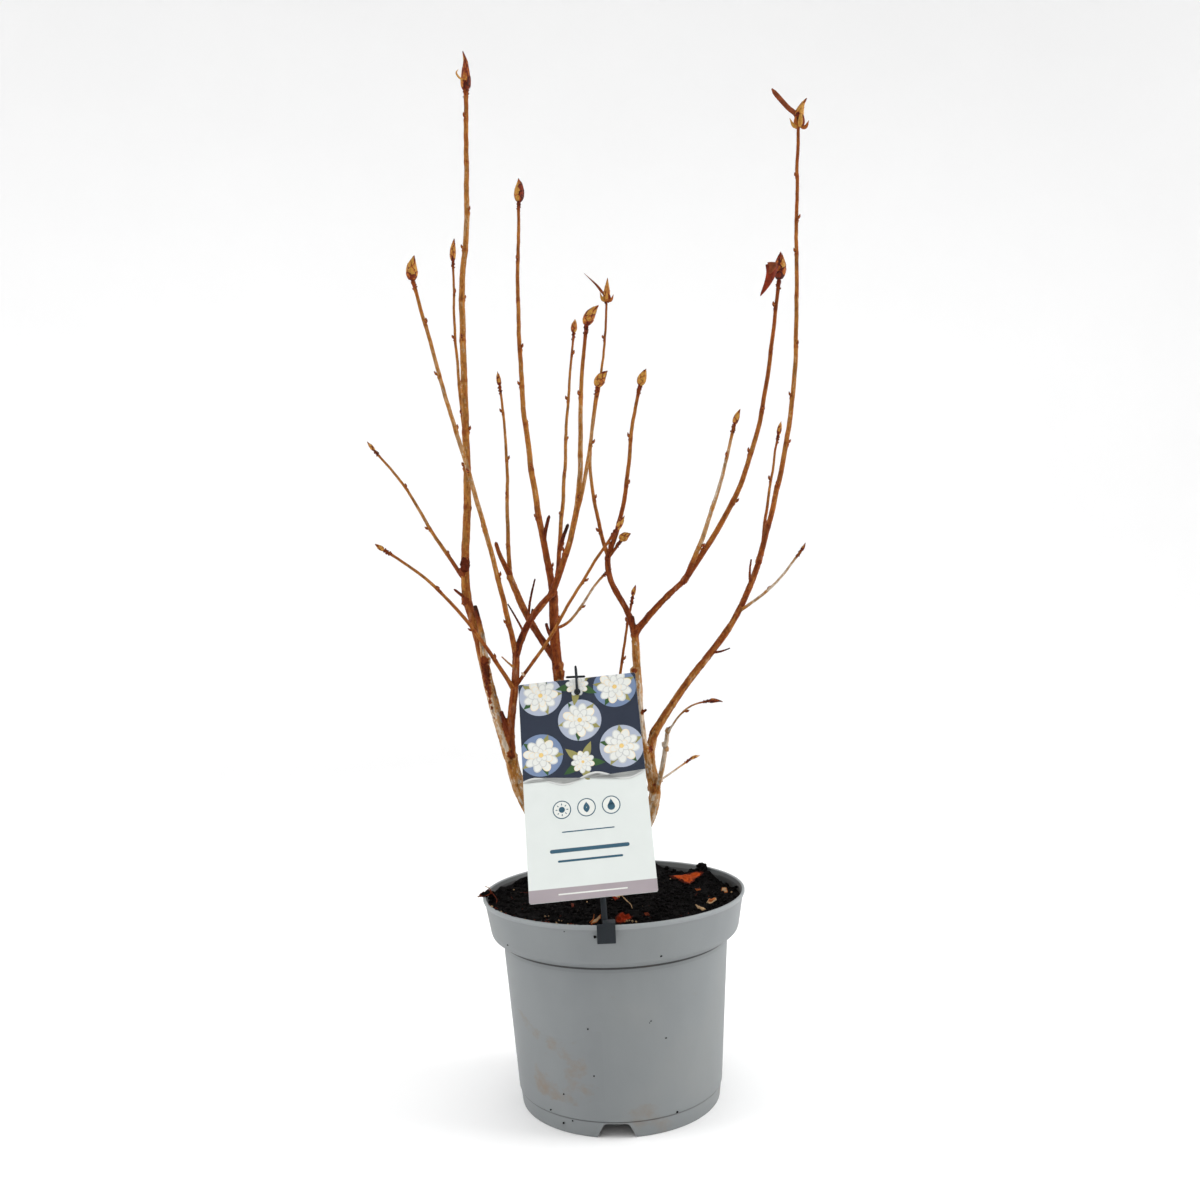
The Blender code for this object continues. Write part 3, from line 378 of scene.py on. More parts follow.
# Swollen nodes on the boughs: place and radius
KNOTS = [
    ((-102, -6, 365), 3.4),
    ((-99.5, -5, 359), 3.3),
    ((-65, -16, 325), 3.2),
    ((-37, -21, 368), 3.2),
    ((-36, -14, 368), 3.9),
    ((-36, -12, 330), 4.3),
    ((-34.8, -10.4, 315), 5.2),
    ((-33.9, -9.9, 309), 5.0),
    ((5, -3, 394), 2.9),
    ((60, -16, 374), 2.9),
    ((123, 30, 389), 3.1),
    ((-69, 3, 383), 3.1),
    ((-71, -12, 249), 5.4),
    ((-88, -8, 321), 4.2),
    ((31.4, 7, 249), 4.2),
    ((21.5, -2, 309), 3.8),
    ((28.2, 4.5, 249), 4.5),
    ((23, -3, 336), 3.9),
    ((33.4, 7.6, 221), 6.0),
]

# Places on the bark with a shade of their own: centre, reach, shade and how much lower it lies
PATCHES = [
    ((31.2, 4.2, 249.8), 2.4, 1.6, 0.2),
    ((-102, -9, 366), 3.2, 2.0, 0.0),
    ((-37, -17, 368), 4.2, 1.6, 0.0),
    ((-71, -17, 252), 3.2, 2.2, 0.0),
    ((-83.8, -10.5, 313), 2.2, 7.2, 0.0),
    ((-92.4, -10, 311), 1.8, 7.0, 0.0),
    ((-89.2, -11.6, 321), 3.4, 1.9, 0.3),
    ((-88.6, -12, 316), 4.1, 1.5, 0.5),
    ((-88.2, -12.2, 311), 4.1, 1.5, 0.6),
    ((-87.8, -12.4, 306), 3.5, 1.5, 0.6),
    ((-87.4, -12.7, 301), 2.9, 1.5, 0.5),
    ((-86.9, -12.9, 296), 2.5, 1.4, 0.4),
    ((-86.2, -13.1, 291), 2.1, 1.5, 0.3),
    ((-85.4, -13.4, 286), 1.7, 1.6, 0.3),
    ((-84.0, -14, 279), 1.6, 0.0, 0.4),
    ((-33.8, -14.5, 303), 2.8, 6.6, 0.0),
    ((-35.4, -15.4, 314), 2.0, 0.8, 1.8),
    ((-38.6, -12, 317), 2.2, 1.6, 0.3),
    ((73, 5, 306), 2.8, 1.0, 0.3),
    ((74.5, 6, 308), 1.4, 6.5, 0.0),
    ((21.5, -6, 309), 2.4, 2.0, 0.0),
    ((28, -5, 246), 1.8, 6.8, 0.0),
    ((26, -4, 272), 2.0, 6.6, 0.0),
    ((33, 1, 224), 2.4, 1.6, 0.0),
    ((28.6, 2, 216), 2.2, 0.4, 1.4),
    ((38, 1.5, 216), 3.0, 6.6, 0.0),
    ((36, 1, 206), 2.6, 6.8, 0.0),
    ((41, 3, 226), 2.2, 2.2, 0.0),
    ((22, -7, 336), 2.4, 2.6, 0.0),
    ((24, -7, 329), 2.2, 6.4, 0.0),
    ((33, 1.5, 248), 2.2, 2.0, 0.0),
    ((37, 2, 256), 2.2, 1.6, 0.0),
    ((123, 26, 388), 2.4, 1.8, 0.0),
    ((136, 30, 424), 2.2, 1.6, 0.0),
    ((60, -19, 373), 2.4, 1.6, 0.0),
    ((5, -6, 393), 2.6, 1.6, 0.0),
]

# Usual shades of each limb near its foot, at a quarter, the middle, three quarters and the tip
TONE_PLACES = (0.04, 0.24, 0.5, 0.78, 0.97)
TONES = {
    "bough_left": (6.8, 6.8, 6.6, 5.9, 5.0),
    "bough_left_outer": (6.0, 6.8, 5.4, 3.6, 3.2),
    "bough_left_inner": (3.4, 3.6, 3.1, 2.5, 2.8),
    "bough_cross": (1.4, 1.7, 2.3, 2.8, 2.5),
    "bough_centre": (4.8, 3.9, 3.5, 2.9, 2.4),
    "bough_centre_left": (2.0, 2.1, 2.6, 4.0, 4.6),
    "bough_right": (6.5, 6.7, 6.0, 5.5, 4.4),
    "bough_right_outer": (4.6, 4.6, 3.6, 3.4, 3.0),
    "bough_right_inner": (5.4, 6.1, 6.9, 6.2, 4.6),
    "bough_right_upper": (2.4, 2.6, 2.3, 2.2, 2.5),
    "bough_right_arching": (2.3, 2.8, 2.6, 2.7, 3.4),
    "tall": (4.3, 5.0, 4.9, 5.2, 4.0),
    "tall_side": (5.2, 5.0, 4.9, 4.6, 4.2),
    "far_left": (2.0, 4.8, 5.0, 5.0, 4.4),
    "tall_twig": (2.4, 2.4, 2.0, 1.6, 1.2),
    "front": (4.0, 5.0, 5.9, 5.5, 4.5),
    "low_left": (4.0, 3.4, 4.3, 4.5, 4.3),
    "low_middle": (2.6, 4.4, 4.6, 4.8, 3.6),
    "low_stub": (3.0, 4.4, 6.2, 6.6, 6.8),
    "centre": (2.5, 4.7, 4.8, 4.4, 4.0),
    "centre_dead": (2.4, 2.2, 1.4, 0.7, 0.4),
    "fork": (2.5, 4.7, 5.6, 5.2, 3.2),
    "fork_right": (4.6, 5.0, 5.4, 5.4, 4.2),
    "fork_left": (2.4, 5.0, 5.3, 4.9, 3.7),
    "fork_dead": (2.1, 1.9, 0.8, 0.3, 0.1),
    "slim": (4.4, 5.2, 5.2, 5.2, 4.6),
    "slim_dead": (2.5, 2.6, 3.6, 3.6, 2.4),
    "low_right": (3.0, 5.4, 6.2, 6.2, 4.6),
    "upright": (2.0, 3.0, 4.0, 4.6, 3.6),
    "upright_back": (3.6, 5.0, 4.9, 4.8, 3.2),
    "upright_bud": (3.0, 3.2, 3.2, 3.4, 3.2),
    "upright_dead": (2.8, 2.5, 2.4, 2.9, 3.2),
    "arching": (2.6, 4.3, 4.4, 3.6, 3.2),
    "arching_inner": (2.1, 5.8, 6.1, 6.3, 5.2),
    "right": (3.2, 4.6, 5.0, 3.9, 3.2),
    "right_inner": (2.7, 3.8, 4.4, 4.6, 3.2),
    "side": (4.4, 6.2, 6.9, 6.7, 6.0),
    "spur": (4.4, 6.4, 7.0, 6.9, 6.4),
    "spur_twig": (6.8, 6.8, 6.2, 5.4, 3.0),
    "back_twig": (6.8, 7.0, 7.0, 6.0, 4.2),
    "hidden": (3.0, 3.4, 3.8, 3.8, 3.4),
    "stub_leader": (6.2, 6.9, 6.4, 2.4, 0.2),
    "stub_left": (2.6, 2.2, 1.8, 1.2, 0.8),
    "stub_inner": (4.6, 5.0, 5.4, 4.4, 4.4),
    "stub_arching": (3.0, 2.6, 2.2, 1.6, 1.0),
}
STUB_TONES = (2.4, 2.0, 1.4, 0.9, 0.4)

# How ochre a terminal bud is and how slender it is; then how far its point hooks and how much redder its
# scales turn towards +x (towards -x when negative)
BUD_LOOKS = {
    "tall": (0.22, 1.7),
    "right": (0.78, 2.1),
    "upright_back": (0.66, 2.0),
    "front": (0.5, 1.0),
    "centre": (0.46, 1.0),
    "fork": (0.50, 1.0),
    "fork_right": (0.60, 1.0),
    "upright": (0.70, 1.0),
    "arching": (0.2, 0.9),
    "spur_twig": (0.2, 1.8),
    "side": (0.3, 1.4),
}
PLAIN_BUD = (0.62, 1.0)
HOOKS = {"tall": -2.4, "centre": -1.2}
BUD_BLUSH = {"tall": 0.25, "centre": 0.55, "fork_right": 0.2, "arching": -0.3, "front": 0.1}

# Withered leaves and reflexed scales by mass: points of the midrib, width, curl across it, finish and form.
# Finishes 8 to 13 are those of BUD_FINISHES.
LEAVES = {
    "shoots_left_tall": [
        ([(-93.2, 22, 775), (-96.4, 20, 776.6), (-98.2, 19, 779.6), (-96.6, 19, 782.4)], 1.9, 0.9, 8, "leaf"),
    ],
    "shoots_right_tall": [
        ([(173.2, 50, 750), (170.5, 49, 753), (165.8, 48, 756.4), (159.6, 46, 762.4), (152.2, 45, 771)],
         4.9, 1.0, 12, "strip"),
        ([(172.8, 50, 741.5), (169.4, 49, 742.4), (166.2, 48.5, 747.8)], 3.8, 0.8, 8, "leaf"),
        ([(175.2, 50, 741), (178.8, 49, 741.0), (181.6, 48.5, 745.4)], 3.8, 0.8, 9, "leaf"),
        ([(174.2, 48.2, 741.5), (174.5, 45.3, 743), (175.5, 44.2, 748)], 3.0, 0.8, 8, "leaf"),
        ([(173.5, 52.5, 741.5), (173, 55.2, 743.5), (172.5, 56, 748)], 3.0, 0.8, 9, "leaf"),
        ([(174.2, 48.4, 740.5), (174.8, 47.2, 746), (175.6, 47.6, 754)], 5.0, 1.1, 8, "leaf"),
        ([(172.8, 49.6, 740.5), (171.4, 49.6, 746), (172.6, 49.8, 753)], 4.4, 1.1, 9, "leaf"),
        ([(175.4, 50.2, 740.5), (177.2, 50.0, 746), (177.4, 50.0, 753)], 4.4, 1.1, 10, "leaf"),
        ([(173.8, 52.2, 740.5), (173.8, 53.4, 746), (174.8, 52.8, 753)], 4.4, 1.1, 9, "leaf"),
    ],
    "shoots_right_middle": [
        ([(12.2, 66, 614), (9.0, 66, 618.6), (4.5, 63, 623.5), (-4.8, 60, 632)], 2.6, 0.9, 12, "leaf"),
        ([(12, 66, 610.6), (9.4, 65.5, 612), (7.6, 65, 617.6)], 3.0, 0.8, 8, "leaf"),
        ([(13.6, 66, 610.6), (16.4, 65.5, 611), (18.8, 65, 615.2)], 3.0, 0.8, 9, "leaf"),
        ([(12.8, 64.6, 610.8), (13, 62.2, 612.4), (13.4, 61.2, 616.8)], 2.6, 0.8, 8, "leaf"),
        ([(12.8, 65.0, 609.0), (13.0, 63.8, 613), (13.4, 64.4, 619)], 3.8, 1.1, 9, "leaf"),
        ([(11.8, 66.2, 609.0), (10.8, 66.4, 613), (11.8, 67.0, 619)], 3.4, 1.1, 8, "leaf"),
        ([(13.8, 66.4, 609.0), (15.2, 66.6, 613), (14.8, 67.0, 619)], 3.4, 1.1, 10, "leaf"),
    ],
    "shoots_right_arching": [
        ([(125.6, -71.5, 587.2), (124.4, -73, 581), (121.2, -73.4, 573.4), (116.2, -72, 565.2)],
         10.0, 0.8, 13, "ear"),
        ([(125.4, -74.2, 587.6), (124.9, -74.8, 584), (122.4, -74.8, 579)], 7.6, 0.6, 12, "ear"),
    ],
}

# Sideways bends of a limb's line: share of its length and shift towards +x
BENDS = {
    "bough_right": ((0.0, 0.0), (0.6, 0.0), (0.7, -2.2), (0.8, -4.9), (0.89, -4.9), (0.95, -3.4),
                    (1.0, -1.6)),
    "tall": ((0.0, 0.0), (0.04, -1.1), (0.1, -0.6), (0.19, 1.6), (0.27, 1.3), (0.34, 0.3), (0.43, -0.5),
             (0.5, -1.4), (0.64, -1.9), (0.675, 1.3), (0.8, 1.5), (0.9, 0.6), (1.0, 0.0)),
}

# Swollen places on shoots by mass: centre, size and shade
SHOOT_KNOTS = {
    "shoots_left_tall": [
        ((-102.2, -2.8, 394.3), 4.6, 1),
        ((-101.8, -3.5, 391), 5.1, 1),
        ((-102.9, -3.4, 387.5), 4.8, 2),
    ],
    "spur_right_front": [
        ((44.5, -11, 264.5), 2.3, 6),
        ((46, -11.5, 266.6), 1.3, 1),
        ((41.4, -8.2, 254), 2.5, 7),
        ((43.2, -9.6, 251), 1.9, 6),
        ((40, -2.6, 238), 2.3, 7),
        ((37.4, 2.6, 227), 2.7, 6),
    ],
}

# Shades of bark from the darkest node to the palest old rind: name, colour on screen, roughness and relief
SHADES = [
    ("bark_black", (52, 30, 22), 0.85, 0.10),
    ("bark_dark", (82, 30, 11), 0.75, 0.10),
    ("bark_red", (102, 44, 13), 0.66, 0.07),
    ("bark_rust", (116, 56, 18), 0.62, 0.06),
    ("bark_brown", (130, 74, 29), 0.62, 0.05),
    ("bark_tan", (144, 95, 42), 0.62, 0.05),
    ("bark_pale", (156, 120, 82), 0.7, 0.06),
    ("bark_grey", (178, 162, 144), 0.85, 0.12),
]
BARK_FLAKE = (0.56, 0.47, 0.37, 1.0)

# Other finishes, numbered in this order: name, colour on screen, roughness, mottle in waves for each metre,
# contrast, relief and shine
BUD_FINISH_START = len(SHADES)
BUD_FINISHES = [
    ("bud_ochre", (166, 120, 52), 0.6, 700.0, 0.3, 0.05, 0.15),
    ("bud_orange", (146, 80, 30), 0.6, 700.0, 0.3, 0.05, 0.15),
    ("bud_red", (106, 38, 15), 0.6, 700.0, 0.3, 0.05, 0.15),
    ("bud_dark", (62, 22, 12), 0.6, 700.0, 0.3, 0.05, 0.15),
    ("leaf_brown", (112, 56, 31), 0.7, 260.0, 0.45, 0.12, 0.1),
    ("leaf_red", (112, 40, 20), 0.65, 260.0, 0.55, 0.15, 0.1),
]

# What lies on the compost; the compost itself is number 0
LITTER_FINISHES = [
    ("bark_chip", (84, 36, 20), 0.9, 200.0, 0.5, 0.2, 0.05),
    ("pale_chip", (150, 124, 94), 0.9, 220.0, 0.5, 0.2, 0.05),
    ("dead_leaf", (146, 58, 20), 0.8, 150.0, 0.55, 0.2, 0.05),
    ("fibre", (78, 34, 24), 0.9, 300.0, 0.4, 0.1, 0.05),
    ("tan_chip", (140, 78, 40), 0.9, 200.0, 0.5, 0.2, 0.05),
    ("red_leaf", (116, 34, 12), 0.8, 130.0, 0.75, 0.2, 0.05),
    ("leaf_shadow", (66, 22, 12), 0.8, 200.0, 0.5, 0.2, 0.05),
]

# The pot's grey, name by name: how light it is and how stained; the lighter lip is a painted highlight, and
# the darker crease band, the band under the collar and the inside are painted shade
POT_FINISHES = [
    ("pot_plastic", 0.94, 0.0),
    ("pot_lip_painted_highlight", 1.18, 0.0),
    ("pot_crease_shade_and_grime", 0.7, 0.6),
    ("pot_stained", 0.92, 1.0),
    ("pot_shaded", 0.86, 0.3),
    ("pot_inside_shade_and_grime", 0.32, 0.6),
    ("pot_smeared_and_shaded", 0.14, 1.0),
    ("pot_foot", 0.94, 0.45),
]
PLASTIC, LIP_HIGHLIGHT, CREASE_SHADE_AND_GRIME, STAINED, SHADED, INSIDE_SHADE_AND_GRIME, SMEARED_AND_SHADED, FOOT = range(len(POT_FINISHES))


# ---------------------------------------------------------------- shapes

class Shape:
    """Closed shapes in millimetres, each face with the number of its finish."""

    def __init__(self):
        self.points = []
        self.faces = []
        self.finishes = []
        self.count = 0

    def add(self, points, faces, finish):
        points = np.asarray(points, float)
        self.points.append(points)
        base = self.count
        self.faces.extend([tuple(index + base for index in face) for face in faces])
        if isinstance(finish, int):
            self.finishes.extend([finish] * len(faces))
        else:
            self.finishes.extend(finish)
        self.count += len(points)


def piece(name, shape, materials, replaced=(), angle=40.0):
    """One object from a gathered shape, riding on the root body."""
    mesh = bpy.data.meshes.new(name)
    points = np.concatenate(shape.points) * MM
    mesh.from_pydata(points.tolist(), [], shape.faces)
    for material in materials:
        mesh.materials.append(material)
    mesh.polygons.foreach_set("material_index", shape.finishes)
    mesh.shade_smooth()
    mesh.set_sharp_from_angle(angle=math.radians(angle))
    mesh.update()
    made = linked(name, mesh)
    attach(made, "root")
    if replaced:
        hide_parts(*replaced)
    return made


def frames(path):
    """The tangent and two cross directions at each point of a path, without twist."""
    path = np.asarray(path, float)
    ahead = np.gradient(path, axis=0)
    ahead /= np.linalg.norm(ahead, axis=1)[:, None]
    across = np.zeros_like(path)
    start = np.array([0.0, 1.0, 0.0]) if abs(ahead[0][1]) < 0.9 else np.array([1.0, 0.0, 0.0])
    last = start - ahead[0] * start.dot(ahead[0])
    last /= np.linalg.norm(last)
    for index in range(len(path)):
        last = last - ahead[index] * last.dot(ahead[index])
        last /= np.linalg.norm(last)
        across[index] = last
    beside = np.cross(ahead, across)
    return ahead, across, beside


def sweep(path, radii, sides):
    """Points and faces of a closed tube. Radii are one number a ring, or one for each side."""
    path = np.asarray(path, float)
    radii = np.asarray(radii, float)
    if radii.ndim == 1:
        radii = np.repeat(radii[:, None], sides, axis=1)
    _, across, beside = frames(path)
    turn = np.arange(sides) * math.tau / sides
    outward = across[:, None, :] * np.cos(turn)[None, :, None]
    outward = outward + beside[:, None, :] * np.sin(turn)[None, :, None]
    points = path[:, None, :] + outward * radii[:, :, None]
    points = np.vstack([points.reshape(-1, 3), path[:1], path[-1:]])
    count = len(path)
    faces = []
    for row in range(count - 1):
        low = row * sides
        for side, after in ring_pairs(sides):
            faces.append((low + side, low + after, low + sides + after, low + sides + side))
    foot = count * sides
    top = foot - sides
    for side, after in ring_pairs(sides):
        faces.append((foot, after, side))
        faces.append((foot + 1, top + side, top + after))
    return points, faces


def smooth_path(points, count):
    """A smooth curve of count points through a few given ones."""
    given = np.asarray(points, float)
    padded = np.vstack([2 * given[0] - given[1], given, 2 * given[-1] - given[-2]])
    made = []
    spans = len(given) - 1
    for index in range(count):
        place = index / (count - 1) * spans
        span = min(int(place), spans - 1)
        t = place - span
        a, b, c, d = padded[span:span + 4]
        made.append(0.5 * (2 * b + (c - a) * t + (2 * a - 5 * b + 4 * c - d) * t * t
                           + (3 * b - a - 3 * c + d) * t ** 3))
    return np.array(made)


def path_lengths(path):
    """The distance walked along a path at each of its points."""
    steps = np.linalg.norm(np.diff(path, axis=0), axis=1)
    return np.concatenate([[0.0], np.cumsum(steps)])


def point_on(path, share):
    """The point at a share of a path's length."""
    walked = path_lengths(path)
    place = share * walked[-1]
    return np.array([np.interp(place, walked, path[:, axis]) for axis in range(3)])


def ring(radius, height, count):
    """Points round a level circle about the pot's axis."""
    turns = [math.tau * index / count for index in range(count)]
    return [(radius * math.cos(turn), radius * math.sin(turn), height) for turn in turns]


def ring_pairs(count):
    """Each place round a ring with the next one."""
    return [(index, (index + 1) % count) for index in range(count)]


def grid_rim(rows, columns):
    """The numbers of the points round the edge of a grid, in order."""
    rim = list(range(columns))
    rim += [row * columns + columns - 1 for row in range(1, rows)]
    rim += [(rows - 1) * columns + column for column in range(columns - 2, -1, -1)]
    rim += [row * columns for row in range(rows - 2, 0, -1)]
    return rim


def linked(name, data):
    """A new object in the scene."""
    made = bpy.data.objects.new(name, data)
    bpy.context.scene.collection.objects.link(made)
    return made


# ---------------------------------------------------------------- materials

def srgb(red, green, blue):
    """A colour given as it looks on a screen, 0 to 255, in the shader's linear values."""
    def linear(value):
        value /= 255.0
        return value / 12.92 if value <= 0.04045 else ((value + 0.055) / 1.055) ** 2.4
    return (linear(red), linear(green), linear(blue), 1.0)


class Finish:
    """A node material in the making."""

    def __init__(self, name, roughness=0.6, specular=0.5):
        self.material = bpy.data.materials.new(name)
        self.material.use_nodes = True
        self.tree = self.material.node_tree
        self.shader = self.tree.nodes["Principled BSDF"]
        self.shader.inputs["Roughness"].default_value = roughness
        self.shader.inputs["Specular IOR Level"].default_value = specular
        self.place = self.tree.nodes.new("ShaderNodeTexCoord").outputs["Object"]

    def node(self, kind, **values):
        made = self.tree.nodes.new(kind)
        for key, value in values.items():
            setattr(made, key, value)
        return made

    def link(self, source, target):
        self.tree.links.new(source, target)

    def scaled(self, scale):
        """Object coordinates scaled along each axis."""
        mapping = self.node("ShaderNodeMapping")
        mapping.inputs["Scale"].default_value = scale
        self.link(self.place, mapping.inputs["Vector"])
        return mapping.outputs["Vector"]

    def noise(self, scale, detail=4.0, rough=0.55, stretch=(1.0, 1.0, 1.0)):
        """A noise pattern; scale is in waves for each metre."""
        made = self.node("ShaderNodeTexNoise")
        made.inputs["Scale"].default_value = scale
        made.inputs["Detail"].default_value = detail
        made.inputs["Roughness"].default_value = rough
        self.link(self.scaled(stretch), made.inputs["Vector"])
        return made.outputs["Fac"]

    def ramp(self, source, stops):
        """Colours by value."""
        made = self.node("ShaderNodeValToRGB")
        band = made.color_ramp
        while len(band.elements) > 1:
            band.elements.remove(band.elements[-1])
        band.elements[0].position = stops[0][0]
        band.elements[0].color = stops[0][1]
        for place, colour in stops[1:]:
            band.elements.new(place).color = colour
        self.link(source, made.inputs["Fac"])
        return made.outputs["Color"]

    def span(self, source, low, high, to_low=0.0, to_high=1.0):
        """A value mapped from one range to another, held at its ends."""
        made = self.node("ShaderNodeMapRange")
        made.inputs["From Min"].default_value = low
        made.inputs["From Max"].default_value = high
        made.inputs["To Min"].default_value = to_low
        made.inputs["To Max"].default_value = to_high
        self.link(source, made.inputs["Value"])
        return made.outputs["Result"]

    def mix(self, share, first, second, blend="MIX"):
        """Two colours mixed; share is a socket or a number."""
        made = self.node("ShaderNodeMix", data_type="RGBA", blend_type=blend)
        for socket, value in ((0, share), (6, first), (7, second)):
            if isinstance(value, bpy.types.NodeSocket):
                self.link(value, made.inputs[socket])
            else:
                made.inputs[socket].default_value = value
        return made.outputs[2]

    def colour(self, source):
        self.link(source, self.shader.inputs["Base Color"])

    def rough(self, source, low, high):
        self.link(self.span(source, 0.3, 0.7, low, high), self.shader.inputs["Roughness"])

    def bump(self, source, height, strength=0.6):
        """A bump pattern; height is in millimetres."""
        made = self.node("ShaderNodeBump")
        made.inputs["Strength"].default_value = strength
        made.inputs["Distance"].default_value = height * MM
        self.link(source, made.inputs["Height"])
        self.link(made.outputs["Normal"], self.shader.inputs["Normal"])


def shade(colour, factor):
    """A colour made darker or lighter."""
    return tuple(min(1.0, value * factor) for value in colour[:3]) + (1.0,)


def bark_finish(name, colour, roughness, relief, weathered):
    """Bark in one shade, mottled along the stem; weathered bark is rougher and flakes pale."""
    made = Finish(name, roughness, 0.1)
    mottle = made.noise(260.0, 5.0, 0.6, (1.0, 1.0, 0.35))
    fine = made.noise(900.0, 4.0, 0.6, (1.0, 1.0, 0.3))
    if weathered:
        flake = min(0.4, 2.2 * colour[1])
        flake_tone = tuple((1.0 - flake) * part + flake * pale for part, pale in zip(colour, BARK_FLAKE))
        stops = [(0.32, shade(colour, 0.42)), (0.46, colour), (0.56, shade(colour, 1.1)), (0.66, flake_tone)]
    else:
        stops = [(0.28, shade(colour, 0.55)), (0.5, colour), (0.75, shade(colour, 1.35))]
    base = made.ramp(mottle, stops)
    grain = made.ramp(fine, [(0.3, (0.68, 0.66, 0.64, 1.0)), (0.7, (1.2, 1.18, 1.14, 1.0))])
    made.colour(made.mix(0.6, base, grain, "MULTIPLY"))
    made.rough(mottle, roughness - 0.1, roughness + 0.12)
    made.bump(fine, relief * (2.0 if weathered else 1.0))
    return made.material


def plain_finish(name, colour, roughness, scale=500.0, contrast=0.18, relief=0.05, specular=0.4):
    """A plain surface with slight colour variation and a fine surface grain."""
    made = Finish(name, roughness, specular)
    mottle = made.noise(scale, 4.0, 0.55)
    dark = shade(colour, 1.0 - contrast)
    made.colour(made.ramp(mottle, [(0.3, dark), (0.7, shade(colour, 1.0 + contrast))]))
    made.rough(mottle, max(0.05, roughness - 0.06), roughness + 0.08)
    made.bump(mottle, relief)
    return made.material


def plain_finishes(rows):
    """Plain finishes from rows of name, colour on screen and the rest."""
    return [plain_finish(name, srgb(*colour), *rest) for name, colour, *rest in rows]


def bark_materials(weathered):
    """The shades of bark in the order of SHADES."""
    ending = "_old" if weathered else ""
    return [bark_finish(name + ending, srgb(*colour), roughness, relief, weathered)
            for name, colour, roughness, relief in SHADES]


def shade_number(value):
    """The shade of bark nearest to a number along SHADES."""
    return min(len(SHADES) - 1, max(0, round(value)))


# ---------------------------------------------------------------- stage

def make_camera():
    """The camera in front of the pot, low, with a slight tilt and roll."""
    data = bpy.data.cameras.new("camera")
    data.sensor_width = SENSOR_WIDTH
    data.lens = SENSOR_WIDTH * LENS_SHARE
    data.clip_start = 0.01
    data.clip_end = 50.0
    camera = linked("camera", data)
    ahead = Vector((math.sin(CAMERA_TURN) * math.cos(CAMERA_TILT),
                    math.cos(CAMERA_TURN) * math.cos(CAMERA_TILT), -math.sin(CAMERA_TILT)))
    right = Vector((math.cos(CAMERA_TURN), -math.sin(CAMERA_TURN), 0.0))
    up = right.cross(ahead)
    rolled_right = right * math.cos(CAMERA_ROLL) + up * math.sin(CAMERA_ROLL)
    rolled_up = up * math.cos(CAMERA_ROLL) - right * math.sin(CAMERA_ROLL)
    turn = Matrix((rolled_right, rolled_up, -ahead)).transposed()
    camera.matrix_world = Matrix.Translation(Vector(CAMERA_PLACE) * MM) @ turn.to_4x4()
    bpy.context.scene.camera = camera


def make_floor():
    """A pale round floor that curves up into a plain wall all round."""
    profile = [(FLOOR_INNER_RING, 0.0), (FLOOR_RADIUS, 0.0)]
    for step in range(1, 13):
        angle = math.radians(90.0 * step / 12)
        profile.append((FLOOR_RADIUS + COVE_RADIUS * math.sin(angle),
                        COVE_RADIUS - COVE_RADIUS * math.cos(angle)))
    profile.append((FLOOR_RADIUS + COVE_RADIUS, WALL_HEIGHT))
    sides = 96
    points = [(0.0, 0.0, 0.0)]
    for radius, height in profile:
        points += ring(radius, height, sides)
    faces = []
    for side, after in ring_pairs(sides):
        faces.append((0, 1 + side, 1 + after))
        for level in range(len(profile) - 1):
            low = 1 + level * sides
            faces.append((low + side, low + sides + side, low + sides + after, low + after))
    mesh = bpy.data.meshes.new("floor")
    mesh.from_pydata(points, [], faces)
    mesh.shade_smooth()
    made = Finish("floor_finish", 0.9, 0.2)
    made.colour(made.ramp(made.noise(3.0), [(0.0, srgb(250, 250, 250)), (1.0, srgb(253, 253, 253))]))
    mesh.materials.append(made.material)
    linked("floor", mesh)


def area_light(name, place, target, size, power):
    """A square soft white light that looks at a point; places are in metres."""
    data = bpy.data.lights.new(name, "AREA")
    data.shape = "SQUARE"
    data.size = size
    data.energy = power
    lamp = linked(name, data)
    lamp.location = place
    lamp.rotation_euler = (Vector(target) - Vector(place)).to_track_quat("-Z", "Y").to_euler()


def make_light():
    """Even studio light: a pale surround and soft lamps from both sides and above."""
    world = bpy.data.worlds.new("surround")
    world.use_nodes = True
    background = world.node_tree.nodes["Background"]
    background.inputs["Color"].default_value = (1.0, 1.0, 1.0, 1.0)
    background.inputs["Strength"].default_value = SURROUND_STRENGTH
    bpy.context.scene.world = world
    bpy.context.scene.view_settings.view_transform = "Standard"
    for lamp in LAMPS:
        area_light(*lamp)


# ---------------------------------------------------------------- pot and soil

def turned(shape, profile, segments, finish):
    """Adds a solid of revolution from a profile whose ends lie on the axis."""
    points = [(0.0, 0.0, profile[0][1])]
    for radius, height in profile[1:-1]:
        points += ring(radius, height, segments)
    points.append((0.0, 0.0, profile[-1][1]))
    last = len(points) - 1
    top = last - segments
    faces = []
    for segment, after in ring_pairs(segments):
        faces.append((0, 1 + after, 1 + segment))
        for level in range(len(profile) - 3):
            low = 1 + level * segments
            high = low + segments
            faces.append((low + segment, low + after, high + after, high + segment))
        faces.append((last, top + segment, top + after))
    shape.add(points, faces, finish)


def filleted(profile, radii, steps=4):
    """A profile whose inner corners are rounded, each by its own radius."""
    made = [profile[0]]
    for index in range(1, len(profile) - 1):
        radius = radii.get(index, 0.0)
        corner = Vector(profile[index])
        before = Vector(profile[index - 1]) - corner
        after = Vector(profile[index + 1]) - corner
        if radius <= 0.0:
            made.append(tuple(corner))
            continue
        cut = min(radius, before.length * 0.45, after.length * 0.45)
        start = corner + before.normalized() * cut
        end = corner + after.normalized() * cut
        for step in range(steps + 1):
            t = step / steps
            point = start * (1 - t) ** 2 + corner * 2 * t * (1 - t) + end * t * t
            made.append(tuple(point))
    made.append(profile[-1])
    return made


